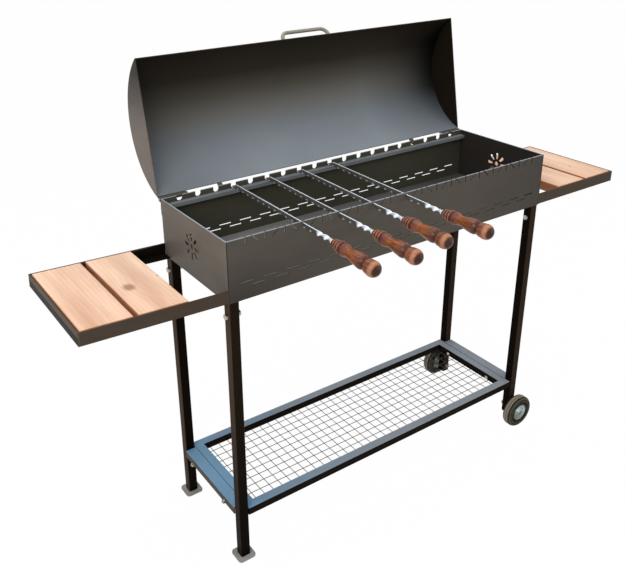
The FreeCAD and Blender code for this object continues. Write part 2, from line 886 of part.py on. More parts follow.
def arm(node, side, face):
    """Angle from the firebox out, mitred where it meets the outer bar's lower flange."""
    body = new_body(node)
    section = new_sketch(body, "ArmSketch", "YZ_Plane")
    edge = f"({face} * box_depth / 2)"
    inner = f"({face} * (box_depth / 2 - angle_sheet))"
    toe = f"({face} * (box_depth / 2 - angle_wide))"
    polygon(
        section,
        [
            (edge, "0"),
            (inner, "0"),
            (inner, "angle_sheet - angle_tall"),
            (toe, "angle_sheet - angle_tall"),
            (toe, "-angle_tall"),
            (edge, "-angle_tall"),
        ],
    )
    pad(body, section, "table_length")
    mitre = new_sketch(body, "MitreSketch", "XY_Plane")
    polygon(
        mitre,
        [
            ("table_length", edge),
            ("table_length + 1", edge),
            ("table_length + 1", f"({face} * (box_depth / 2 - angle_wide - 1))"),
            ("table_length - angle_wide - 1", f"({face} * (box_depth / 2 - angle_wide - 1))"),
        ],
    )
    pocket(body, mitre)
    finish(body, node, table_place(side))


def outer_bar(node, side):
    body = new_body(node)
    section = new_sketch(body, "BarSketch", "XZ_Plane")
    polygon(
        section,
        [
            ("table_length", "0"),
            ("table_length - angle_sheet", "0"),
            ("table_length - angle_sheet", "angle_sheet - angle_tall"),
            ("table_length - angle_wide", "angle_sheet - angle_tall"),
            ("table_length - angle_wide", "-angle_tall"),
            ("table_length", "-angle_tall"),
        ],
    )
    pad(body, section, "box_depth", middle=True)
    mitre = new_sketch(body, "MitreSketch", "XY_Plane")
    for face in (-1, 1):
        polygon(
            mitre,
            [
                ("table_length", f"{face} * box_depth / 2"),
                ("table_length", f"{face} * (box_depth / 2 + 1)"),
                ("table_length - angle_wide - 1", f"{face} * (box_depth / 2 + 1)"),
                ("table_length - angle_wide - 1", f"{face} * (box_depth / 2 - angle_wide - 1)"),
            ],
        )
    pocket(body, mitre)
    finish(body, node, table_place(side))


def board(node, side, place):
    """place 0 is the board beside the outer bar, place 1 the one nearer the firebox."""
    body = new_body(node)
    sketch = new_sketch(body, "BoardSketch", "XY_Plane")
    high = f"(table_length - angle_sheet - board_side_gap - {place} * (board_wide + board_gap))"
    half = "(box_depth / 2 - angle_sheet - board_end_gap)"
    rectangle(sketch, f"{high} - board_wide", f"-{half}", high, half)
    plank = pad(body, sketch, "board_thick")
    round_edges(body, plank, lambda edge: True, "board_round")
    lift = at(0, 0, s.angle_sheet - s.angle_tall)
    finish(body, node, table_place(side) * lift)


for name, side in (("left", -1), ("right", 1)):
    # The table's own +Y points to the front on the left, because its frame is turned round
    arm(f"table_{name}_arm_front", side, -side)
    arm(f"table_{name}_arm_back", side, side)
    outer_bar(f"table_{name}_outer_bar", side)
    board(f"table_{name}_board_outer", side, 0)
    board(f"table_{name}_board_inner", side, 1)

# Lid: drawn shut about its hinge line, then swung open

HINGE_Y = BOX_Y + s.hinge_back
HINGE_Z = BOX_TOP - s.hinge_drop
LID_RADIUS = s.lid_chord**2 / (8 * s.lid_rise) + s.lid_rise / 2
LID_HALF = math.degrees(math.asin(s.lid_chord / 2 / LID_RADIUS))
LID_SWING = Rotation(X_AXIS, -s.lid_open)
LID_PLACE = Placement(Vector(0, HINGE_Y, HINGE_Z), LID_SWING)

# The lid's arc as formulas, measured from the hinge line with the lid shut
RADIUS = "(lid_chord ^ 2 / (8 * lid_rise) + lid_rise / 2)"
EDGE_Y = "(lid_back - hinge_back)"
EDGE_Z = "(hinge_drop + lid_seat)"
ARC_Y = f"({EDGE_Y} - lid_chord / 2)"
ARC_Z = f"({EDGE_Z} + lid_rise - {RADIUS})"
edge_y = s.lid_back - s.hinge_back
edge_z = s.hinge_drop + s.lid_seat
arc_y = edge_y - s.lid_chord / 2
arc_z = edge_z + s.lid_rise - LID_RADIUS


def lid_arc(sketch, radius, text):
    """Arc of the lid's section, from its hinge edge over to its front edge."""
    lift = edge_z - arc_z
    spread = math.acos(lift / radius)
    centre = Vector(arc_y, arc_z, 0)
    arc = Part.ArcOfCircle(
        Part.Circle(centre, Vector(0, 0, 1), radius),
        math.pi / 2 - spread,
        math.pi / 2 + spread,
    )
    number = sketch.addGeometry(arc)
    pin_point(sketch, number, 3, ARC_Y, ARC_Z)
    for end in (1, 2):
        index = sketch.addConstraint(
            Sketcher.Constraint("DistanceY", -1, 1, number, end, edge_z)
        )
        sketch.setExpression(f"Constraints[{index}]", link(EDGE_Z))
    index = sketch.addConstraint(Sketcher.Constraint("Radius", number, radius))
    sketch.setExpression(f"Constraints[{index}]", link(text))
    return number


def close_with_line(sketch, first, first_end, second, second_end):
    start = sketch.getPoint(first, first_end)
    end = sketch.getPoint(second, second_end)
    number = sketch.addGeometry(Part.LineSegment(start, end))
    sketch.addConstraint(Sketcher.Constraint("Coincident", number, 1, first, first_end))
    sketch.addConstraint(Sketcher.Constraint("Coincident", number, 2, second, second_end))


def lid_shell():
    body = new_body("lid_shell")
    sketch = new_sketch(body, "ShellSketch", "YZ_Plane")
    outer = lid_arc(sketch, LID_RADIUS, RADIUS)
    inner = lid_arc(sketch, LID_RADIUS - s.lid_sheet, f"{RADIUS} - lid_sheet")
    close_with_line(sketch, outer, 1, inner, 1)
    close_with_line(sketch, outer, 2, inner, 2)
    pad(body, sketch, "box_length", middle=True)
    finish(body, "lid_shell", LID_PLACE)


def lid_end(node, x):
    body = new_body(node)
    sketch = new_sketch(body, "EndSketch", "YZ_Plane")
    outer = lid_arc(sketch, LID_RADIUS, RADIUS)
    close_with_line(sketch, outer, 1, outer, 2)
    pad(body, sketch, "lid_over")
    finish(body, node, at(x, 0, 0) * LID_PLACE)


def lid_handle():
    """Bent round bar standing on the lid near its front edge."""
    body = new_body("lid_handle")
    path = new_sketch(body, "PathSketch", "XZ_Plane")
    half = "handle_span / 2"
    bend = "handle_bend"
    tall = "handle_reach"
    corners = [
        (f"-{half}", "0"),
        (f"-{half}", f"{tall} - {bend}"),
        (f"{bend} - {half}", tall),
        (f"{half} - {bend}", tall),
        (half, f"{tall} - {bend}"),
        (half, "0"),
    ]
    w = s.handle_span / 2
    r = s.handle_bend
    h = s.handle_reach
    spots = [Vector(-w, 0), Vector(-w, h - r), Vector(r - w, h)]
    spots += [Vector(w - r, h), Vector(w, h - r), Vector(w, 0)]
    up = Vector(0, 0, 1)
    left = Part.ArcOfCircle(Part.Circle(Vector(r - w, h - r), up, r), math.pi / 2, math.pi)
    right = Part.ArcOfCircle(Part.Circle(Vector(w - r, h - r), up, r), 0, math.pi / 2)
    pieces = [
        Part.LineSegment(spots[0], spots[1]),
        left,
        Part.LineSegment(spots[2], spots[3]),
        right,
        Part.LineSegment(spots[4], spots[5]),
    ]
    for piece in pieces:
        path.addGeometry(piece)
    # Each arc runs anticlockwise, so its ends meet the lines in the opposite order
    for first, first_end, second, second_end in (
        (0, 2, 1, 2),
        (1, 1, 2, 1),
        (2, 2, 3, 2),
        (3, 1, 4, 1),
    ):
        path.addConstraint(
            Sketcher.Constraint("Coincident", first, first_end, second, second_end)
        )
    for geometry, end, corner in ((0, 1, 0), (0, 2, 1), (2, 1, 2), (2, 2, 3), (4, 1, 4), (4, 2, 5)):
        pin_point(path, geometry, end, *corners[corner])
    for geometry in (1, 3):
        index = path.addConstraint(Sketcher.Constraint("Radius", geometry, r))
        path.setExpression(f"Constraints[{index}]", link("handle_bend"))
    section = new_sketch(body, "BarSketch", "XY_Plane")
    circle(section, "handle_radius", f"-{half}", "0")
    doc.recompute()
    pipe = body.newObject("PartDesign::AdditivePipe", "Pipe")
    pipe.Profile = section
    pipe.Spine = (path, [f"Edge{i}" for i in range(1, 6)])
    lean = LID_HALF - s.handle_angle
    outward = Vector(0, -math.sin(math.radians(lean)), math.cos(math.radians(lean)))
    base = Vector(0, arc_y, arc_z) + outward * LID_RADIUS
    seat = Placement(base, Rotation(X_AXIS, lean))
    finish(body, "lid_handle", LID_PLACE * seat)


lid_shell()
lid_end("lid_end_left", -BOX_X - s.lid_over)
lid_end("lid_end_right", BOX_X)
lid_handle()

# Hinges: fixed leaves on the back wall, swinging leaves on the lid, and their pins

HINGE_LENGTH = "(hinge_outer + hinge_middle + hinge_inner)"
hinge_length = s.hinge_outer + s.hinge_middle + s.hinge_inner
PLATE_TOP = BOX_TOP - s.notch_deep - s.hinge_clear - HINGE_Z


def barrel_part(side, start, length):
    """Low end of a stretch of the hinge, counted from the firebox's end towards its middle."""
    low = -BOX_X + start if side < 0 else BOX_X - start - length
    return low + s.run_gap


def knuckle(name, low, length):
    """Barrel short by the running gap at each end."""
    return rod(name, "knuckle_radius", f"{length} - 2 * run_gap", (low, 0, 0), ALONG_X)


def fixed_leaf(node, side):
    """Plate under the end notch, with a tab and a web up to the barrel on each side of it."""
    low = -BOX_X if side < 0 else BOX_X - hinge_length
    back = -s.hinge_back
    plate_low = PLATE_TOP - s.leaf_tall
    plate = box(f"{node}Plate", HINGE_LENGTH, "leaf_sheet", "leaf_tall", low, back, plate_low)
    tab = "notch_deep + hinge_clear - hinge_drop - knuckle_radius + leaf_sheet"
    pieces = [plate]
    stretches = (
        ("Outer", 0, "hinge_outer"),
        ("Inner", s.hinge_outer + s.hinge_middle, "hinge_inner"),
    )
    for tag, start, length in stretches:
        x = barrel_part(side, start, getattr(s, length))
        wide = f"{length} - 2 * run_gap"
        pieces.append(knuckle(f"{node}Knuckle{tag}", x, length))
        pieces.append(box(f"{node}Tab{tag}", wide, "leaf_sheet", tab, x, back, PLATE_TOP))
        pieces.append(
            box(f"{node}Web{tag}", wide, "hinge_back", "leaf_sheet", x, back, -s.knuckle_radius)
        )
    blank = fuse(f"{node}Blank", pieces)
    bore = rod(f"{node}Bore", "pin_radius + fit_gap", HINGE_LENGTH, (low, 0, 0), ALONG_X)
    leaf = cut(f"{node}Leaf", blank, bore)
    finish(leaf, node, at(0, HINGE_Y, HINGE_Z))


# The swinging leaf lies on the lid's back, square to the radius at its middle
leaf_middle = s.leaf_start + s.leaf_tall / 2
back_angle = math.radians(90 - LID_HALF) + leaf_middle / LID_RADIUS
leaf_normal = Vector(0, math.cos(back_angle), math.sin(back_angle))
leaf_depth = (Vector(0, arc_y, arc_z) + leaf_normal * LID_RADIUS).dot(leaf_normal)


def swinging_leaf(tag, side):
    """In the leaf's own frame Y runs out of the lid and Z up its back."""
    low = -BOX_X if side < 0 else BOX_X - hinge_length
    plate = box(
        f"{tag}Plate", HINGE_LENGTH, "leaf_sheet", "leaf_tall", low, leaf_depth, s.leaf_start
    )
    x = barrel_part(side, s.hinge_outer, s.hinge_middle)
    wide = "hinge_middle - 2 * run_gap"
    tongue = box(f"{tag}Tongue", wide, "leaf_sheet", "leaf_start + 1", x, leaf_depth, 0)
    blank = fuse(f"{tag}Blank", [plate, tongue, knuckle(f"{tag}Knuckle", x, "hinge_middle")])
    bore = rod(f"{tag}Bore", "pin_radius + fit_gap", HINGE_LENGTH, (low, 0, 0), ALONG_X)
    return cut(f"{tag}Leaf", blank, bore)


leaf_turn = Placement(Vector(), Rotation(X_AXIS, math.degrees(back_angle)))
leaves = [swinging_leaf("LeftSwing", -1), swinging_leaf("RightSwing", 1)]
finish(group("SwingLeaves", leaves), "lid_hinge_leaves", LID_PLACE * leaf_turn)
fixed_leaf("hinge_leaf_left", -1)
fixed_leaf("hinge_leaf_right", 1)
pins = []
for side in (-1, 1):
    low = -BOX_X if side < 0 else BOX_X - hinge_length
    shaft = rod("Pin", "pin_radius", HINGE_LENGTH, (low, 0, 0), ALONG_X)
    head_low = low + hinge_length if side < 0 else low - s.pin_head
    head = rod("PinHead", "pin_radius + pin_head", "pin_head", (head_low, 0, 0), ALONG_X)
    pins.append(fuse("PinSet", [shaft, head]))
finish(group("Pins", pins), "hinge_pins", at(0, HINGE_Y, HINGE_Z))


def lid_stops():
    """Tabs from the lid's hinge edge to the back wall: they hold the lid where it is open."""
    swing = LID_SWING
    edge = swing.multVec(Vector(0, edge_y, edge_z))
    inner_half = math.sqrt((LID_RADIUS - s.lid_sheet) ** 2 - (edge_z - arc_z) ** 2)
    inside = swing.multVec(Vector(0, arc_y + inner_half, edge_z))
    wall = s.run_gap - s.hinge_back
    outline = [
        edge,
        inside,
        Vector(0, -0.5, s.stop_reach / 2 + 0.5),
        Vector(0, wall, 0.5 - s.stop_reach / 2),
        Vector(0, wall, -s.stop_reach),
        Vector(0, wall / 2, -s.stop_reach * 0.6),
    ]
    tabs = []
    for start in (s.stop_left, s.stop_right):
        corners = [Vector(start - s.stop_wide / 2, p.y, p.z) for p in outline]
        face = Part.Face(Part.makePolygon(corners + corners[:1]))
        tabs.append(face.extrude(Vector(s.stop_wide, 0, 0)))
    feature = doc.addObject("Part::Feature", "Stops")
    feature.Shape = Part.makeCompound(tabs)
    finish(feature, "lid_stops", at(0, HINGE_Y, HINGE_Z))


lid_stops()

# Skewers: each lies in a notch of the back wall and a slit of the front wall

REST_BACK = BOX_TOP - s.notch_deep + s.blade_gap
REST_FRONT = BOX_TOP - s.slit_deep + s.blade_gap
SLOPE = math.degrees(math.atan((REST_BACK - REST_FRONT) / s.box_depth))


def skewer_blade(length, bend):
    """Flat bar on edge with a point at the back, a twist and a round ferrule in front.

    Its own Y axis runs to the back, with y = 0 where the ferrule ends at the grip and
    z = 0 on the bar's middle line.
    """
    half = s.blade_tall / 2
    thin = s.blade_thick / 2
    flat = s.ferrule_length + s.twist_length
    bar = Part.makePolygon(
        [
            Vector(-thin, flat, -half),
            Vector(-thin, length - s.blade_point, -half),
            Vector(-thin, length, -half + 1),
            Vector(-thin, length, -half + 2.5),
            Vector(-thin, length - s.blade_point, half),
            Vector(-thin, flat, half),
            Vector(-thin, flat, -half),
        ]
    )
    shape = Part.Face(bar).extrude(Vector(s.blade_thick, 0, 0))
    steps = max(6, round(s.twist_turn / 30))
    sections = []
    for i in range(steps + 1):
        turn = math.radians(s.twist_turn) * i / steps
        y = s.ferrule_length + s.twist_length * i / steps
        corners = []
        for a, b in ((-thin, -half), (thin, -half), (thin, half), (-thin, half)):
            x = a * math.cos(turn) - b * math.sin(turn)
            z = a * math.sin(turn) + b * math.cos(turn)
            corners.append(Vector(x, y, z))
        sections.append(Part.makePolygon(corners + corners[:1]))
    shape = shape.fuse(Part.makeLoft(sections, True, True))
    ferrule = Part.makeCone(
        s.ferrule_radius, s.ferrule_small, s.ferrule_length, Vector(), Y_AXIS
    )
    ferrule.Placement = bend
    return shape.fuse(ferrule)


def skewer_grip():
    """Turned handle along -Y: rings, a bulge, a waist, a long swell, a neck and a knob."""
    step = s.ring_pitch / 2
    rise = s.ring_groove / 2
    spots = [(0, s.ring_radius - 1.6 * rise)]
    for i in range(3):
        crest = s.ring_radius + i * s.ring_grow
        middle = s.ring_start + i * s.ring_pitch
        spots.append((middle, crest))
        spots.append((middle + 0.95 * step, crest - 1.5 * rise))
    cap = math.sqrt(0.5)
    between = (s.waist_at + s.swell_at) / 2
    spots += [
        (s.bulge_at, s.bulge_radius),
        (s.waist_at - 1.5 * step, s.waist_radius + 1.8 * rise),
        (s.waist_at, s.waist_radius),
        (s.waist_at + 1.9 * step, s.waist_radius + rise),
        (between + step, (s.waist_radius + s.swell_radius) / 2 + rise),
        (s.swell_at, s.swell_radius),
        (s.swell_at + 1.7 * step, s.swell_radius - 1.3 * rise),
        (s.neck_at - step / 4, s.neck_radius + 0.4 * rise),
        (s.neck_at, s.neck_radius),
        (s.neck_at + 0.4 * step, s.neck_radius + 0.8 * rise),
        (s.neck_at + 1.9 * step, s.knob_radius - 1.6 * rise),
        (s.knob_at, s.knob_radius),
        (s.knob_at + s.knob_radius * cap, s.knob_radius * cap),
        (s.knob_at + s.knob_radius, 0),
    ]
    points = [Vector(0, -along, radius) for along, radius in spots]
    edges = [
        Part.Arc(points[i], points[i + 1], points[i + 2]).toShape()
        for i in range(0, len(points) - 2, 2)
    ]
    start = Vector(0, 0, 0)
    edges.append(Part.makeLine(points[-1], start))
    edges.append(Part.makeLine(start, points[0]))
    return Part.Face(Part.Wire(edges)).revolve(Vector(), Y_AXIS, 360)


GRIP = skewer_grip()
SKEWERS = (
    (-6, s.reach_one, s.droop_one),
    (-4, s.reach_two, s.droop_two),
    (-2, s.reach_three, s.droop_three),
    (0, s.reach_four, s.droop_four),
)
for number, (place, reach, droop) in enumerate(SKEWERS, start=1):
    # The grip hangs a little lower than the blade: both meet where the ferrule begins
    bend = Placement(Vector(), Rotation(X_AXIS, droop), Vector(0, s.ferrule_length, 0))
    x = place * s.skewer_pitch
    back = BOX_Y + s.blade_past
    ferrule = -BOX_Y - reach + s.knob_at
    down = math.tan(math.radians(SLOPE)) * (BOX_Y - ferrule)
    height = REST_BACK - down + s.blade_tall / 2
    lie = Placement(Vector(x, ferrule, height), Rotation(X_AXIS, SLOPE))
    blade = doc.addObject("Part::Feature", f"Blade{number}")
    blade.Shape = skewer_blade((back - ferrule) / math.cos(math.radians(SLOPE)), bend)
    finish(blade, f"skewer_{number}_blade", lie)
    grip = doc.addObject("Part::Feature", f"Grip{number}")
    grip.Shape = GRIP.copy()
    finish(grip, f"skewer_{number}_grip", lie * bend)

# Check every object, then write one file for each sub-part

doc.recompute()
for thing in doc.Objects:
    if "Invalid" in thing.State or "Error" in thing.State:
        raise ValueError(f"{thing.Label} is {thing.State}")
for piece in subparts:
    if piece.Shape.isNull() or not piece.Shape.isValid():
        raise ValueError(f"{piece.Label} has no valid shape")
    if not piece.Shape.Solids:
        raise ValueError(f"{piece.Label} has no solid")

os.makedirs("parts", exist_ok=True)
for piece in subparts:
    piece.Shape.exportStep(f"parts/{piece.Label}.step")
whole = Part.makeCompound([piece.Shape for piece in subparts])
box_all = whole.BoundBox
print(f"{len(subparts)} sub-parts, from {box_all.XMin:.2f} {box_all.YMin:.2f} {box_all.ZMin:.2f}")
print(f"to {box_all.XMax:.2f} {box_all.YMax:.2f} {box_all.ZMax:.2f}")
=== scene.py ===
"""Looks of the charcoal brazier grill, laid out as an add-on.

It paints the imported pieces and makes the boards, tyres, blades and grips anew.
Metres, +X along the firebox towards the wheels, -Y the front, +Z up.
"""

import math

import bmesh
import bpy
from mathutils import Matrix, Vector


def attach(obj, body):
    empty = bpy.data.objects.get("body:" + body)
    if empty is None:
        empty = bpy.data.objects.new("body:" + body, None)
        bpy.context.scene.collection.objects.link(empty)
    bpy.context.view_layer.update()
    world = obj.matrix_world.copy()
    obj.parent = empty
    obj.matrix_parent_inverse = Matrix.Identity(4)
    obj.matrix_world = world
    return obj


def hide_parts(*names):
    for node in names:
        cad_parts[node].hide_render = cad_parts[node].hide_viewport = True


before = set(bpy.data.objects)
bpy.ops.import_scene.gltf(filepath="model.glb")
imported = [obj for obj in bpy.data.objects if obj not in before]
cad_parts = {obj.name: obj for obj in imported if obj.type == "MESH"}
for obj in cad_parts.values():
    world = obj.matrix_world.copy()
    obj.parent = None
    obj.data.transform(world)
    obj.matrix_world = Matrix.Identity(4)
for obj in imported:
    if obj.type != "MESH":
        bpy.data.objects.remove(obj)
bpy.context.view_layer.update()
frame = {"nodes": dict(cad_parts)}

bl_info = {
    "name": "Charcoal brazier grill",
    "version": (1, 0, 0),
    "blender": (4, 5, 0),
    "location": "View3D > Sidebar > Grill",
    "description": "Builds the looks of a charcoal brazier grill round its packed frame",
    "category": "Object",
}

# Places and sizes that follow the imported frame

MIDDLE_Y = 0.06415
BOX_HALF = 0.498
BOX_DEPTH = 0.310
BOX_TOP = 0.8724
FRONT_Y = MIDDLE_Y - BOX_DEPTH / 2
BACK_Y = MIDDLE_Y + BOX_DEPTH / 2
LID_RADIUS = 0.18542
LID_CENTRE = (0.17742, 1.04897)
LEG_X = 0.4835
LEG_SPREAD = 0.1418
LEG_HALF = 0.0125
SHELF_TOP = 0.147
TABLE_TOP = 0.759
TABLE_END = 0.824
TABLE_TURN = math.radians(1.95)
TABLE_EDGE = Vector((-BOX_HALF, 0, 0.758))
BOARD_INNER = (0.5875, 0.6995)
BOARD_OUTER = (0.7095, 0.8215)
BOARD_HALF_LENGTH = 0.1505
BOARD_THICK = 0.028
WHEEL_X = 0.4835
WHEEL_Z = 0.050
WHEEL_OUT = 0.1773
WHEEL_PLACES = {"front": MIDDLE_Y - WHEEL_OUT, "back": MIDDLE_Y + WHEEL_OUT}
TYRE_HALF = 0.0145
TYRE_RADIUS = 0.050
TYRE_BORE = 0.02556
TYRE_SHOULDER = 0.009

# Skewers: how far right each lies, how far its knob reaches out, its grip's droop in degrees

SKEWERS = {
    1: (-0.300, 0.238, 4.0),
    2: (-0.200, 0.250, 2.5),
    3: (-0.100, 0.233, 1.5),
    4: (0.0, 0.255, 0.0),
}
REST_BACK = 0.8591
REST_SLOPE = math.atan(0.0029 / BOX_DEPTH)
FERRULE = 0.010
BLADE_THICK = 0.0024
BLADE_HALF = 0.006
BLADE_HEIGHT = 2 * BLADE_HALF - 0.0002
BLADE_TWIST = 0.048
TWIST_STEPS = 72
NOTCH_PITCH = 0.024
POINT_LENGTH = 0.022
POINT_DROP = 0.0095
POINT_PAST = 0.005
KNOB_AT = 0.1285
KNOB_RADIUS = 0.0178
GRIP_LENGTH = KNOB_AT + 0.018

# The turned grip as (along from the ferrule, radius), up to its knob, and what is painted on
# it: its grooves and the crests of its rings

GRIP_PROFILE = (
    (0.0, 0.0086),
    (0.0012, 0.0090),
    (0.0045, 0.0094),
    (0.0060, 0.0101),
    (0.0070, 0.0106),
    (0.0080, 0.0102),
    (0.0096, 0.0092),
    (0.0116, 0.0090),
    (0.0138, 0.0105),
    (0.0154, 0.0122),
    (0.0165, 0.0127),
    (0.0176, 0.0122),
    (0.0192, 0.0111),
    (0.0211, 0.0108),
    (0.0232, 0.0122),
    (0.0248, 0.0140),
    (0.0260, 0.0146),
    (0.0271, 0.0141),
    (0.0287, 0.0129),
    (0.0306, 0.0125),
    (0.0328, 0.0139),
    (0.0370, 0.0152),
    (0.0415, 0.0146),
    (0.0470, 0.0129),
    (0.0540, 0.0114),
    (0.0640, 0.0125),
    (0.0780, 0.0150),
    (0.0930, 0.0167),
    (0.1000, 0.0160),
    (0.1050, 0.0128),
    (0.1070, 0.0119),
    (0.1092, 0.0129),
    (0.1130, 0.0154),
    (0.1180, 0.0166),
)
GROOVES = (0.0116, 0.0211, 0.0306, 0.1070)
CRESTS = (0.0070, 0.0165, 0.0260)

# Painted on the hubs, by radius, and on the boards: knots as (x, y, size)

HUB_RINGS = (0.0085, 0.0127, 0.0169, 0.0211)
HUB_EDGE = 0.0242
AXLE_HOLE = 0.0033
KNOTS = (
    (-0.6661, 0.0379, 0.0160),
    (-0.5895, 0.0607, 0.0040),
    (0.6350, 0.1420, 0.0050),
    (0.7600, 0.0100, 0.0045),
)

# Bands of a tint: axes, a bound beyond every piece, the depth of one face's paint and the
# softness of its edge

X, Y, Z = range(3)
FAR = 2
SKIN = 0.0006
SOFT = 0.0003

# Noise scales that the enamels share

SPECK = 850
FINE_GRAIN = 420

# Colours: the lid ramp runs up the lid's inside and is painted light, and the grip ramp runs
# along a grip as factors on its wood, with painted light in it

# Up the lid's inside: a painted bluish reflection low down, fading to painted shade at the top
LID_PAINTED_SHADING = (
    (0.00, (0.218, 0.243, 0.263)),
    (0.22, (0.174, 0.192, 0.210)),
    (0.42, (0.126, 0.122, 0.110)),
    (0.58, (0.073, 0.065, 0.051)),
    (0.74, (0.030, 0.025, 0.018)),
    (1.00, (0.020, 0.013, 0.008)),
)
# Along the grip: darker over the rings, painted highlights on the bulge, the swell and the knob,
# painted shade at the neck and on the knob's end
GRIP_TONES_AND_PAINTED_LIGHT = (
    (0.00, (0.54, 0.46, 0.70)),
    (0.22, (0.52, 0.42, 0.70)),
    (0.26, (0.60, 0.63, 1.35)),
    (0.36, (1.00, 0.95, 0.85)),
    (0.55, (1.10, 1.05, 0.95)),
    (0.65, (0.75, 0.78, 1.35)),
    (0.73, (0.36, 0.30, 0.43)),
    (0.78, (0.79, 0.84, 1.30)),
    (0.92, (1.00, 1.10, 1.35)),
    (1.00, (0.40, 0.42, 0.45)),
)
# Painted sheen: a painted sky reflection on the firebox's top edges and on the shelf tops
PAINTED_SHEEN = (0.27, 0.30, 0.33)
# Painted shade beside the hubs' steps and in their axle holes
HUB_PAINTED_SHADE = (0.05, 0.045, 0.035)
TARNISH = (0.25, 0.22, 0.19)
SCUFF = (0.9, 0.9, 0.9)
# Painted highlight on the edges of the hubs' steps
PAINTED_GLINT = (0.66, 0.80, 0.90)
# Bright steel of the blades: their painted highlight along the back, their twist and notches
BRIGHT = (0.78, 0.82, 0.88)
SHADE = (0.035, 0.010, 0.005)
# Painted highlight on the grips' ring crests and round their knobs
CREST_HIGHLIGHT = (0.60, 0.26, 0.14)
KNOT = (0.17, 0.095, 0.065)
FIBRE = (0.93, 0.72, 0.56)
GRAIN = (0.86, 0.72, 0.62)
TREAD_DUST = (0.26, 0.225, 0.17)

# Stage: the camera's place and its own right, up and back, and each lamp's place, size and
# power

CAMERA_PLACE = (-1.1976, -1.38355, 1.5312)
CAMERA_AXES = (
    (0.827128, -0.561874, -0.012529),
    (0.230196, 0.318363, 0.919595),
    (-0.512707, -0.763507, 0.392668),
)
CAMERA_LENS = 44.70
CAMERA_SHIFT = (0.0315, -0.0968)
FLOOR_SEEN = 0.985
LAMPS = {
    "key": ((-2.6, -1.6, 2.8), 2.0, 62),
    "fill": ((2.4, -2.2, 1.6), 2.4, 22),
    "top": ((0.0, 0.4, 3.2), 2.6, 40),
}


# Node trees


class Wire:
    """An output in a node tree, on which + - * and / add Math nodes."""

    def __init__(self, paint, socket):
        self.paint = paint
        self.socket = socket

    def _math(self, operation, first, second):
        return self.paint.function(operation, first, second)

    def __add__(self, other):
        return self._math("ADD", self, other)

    __radd__ = __add__

    def __sub__(self, other):
        return self._math("SUBTRACT", self, other)

    def __rsub__(self, other):
        return self._math("SUBTRACT", other, self)

    def __mul__(self, other):
        return self._math("MULTIPLY", self, other)

    __rmul__ = __mul__

    def __truediv__(self, other):
        return self._math("DIVIDE", self, other)

    def __rtruediv__(self, other):
        return self._math("DIVIDE", other, self)


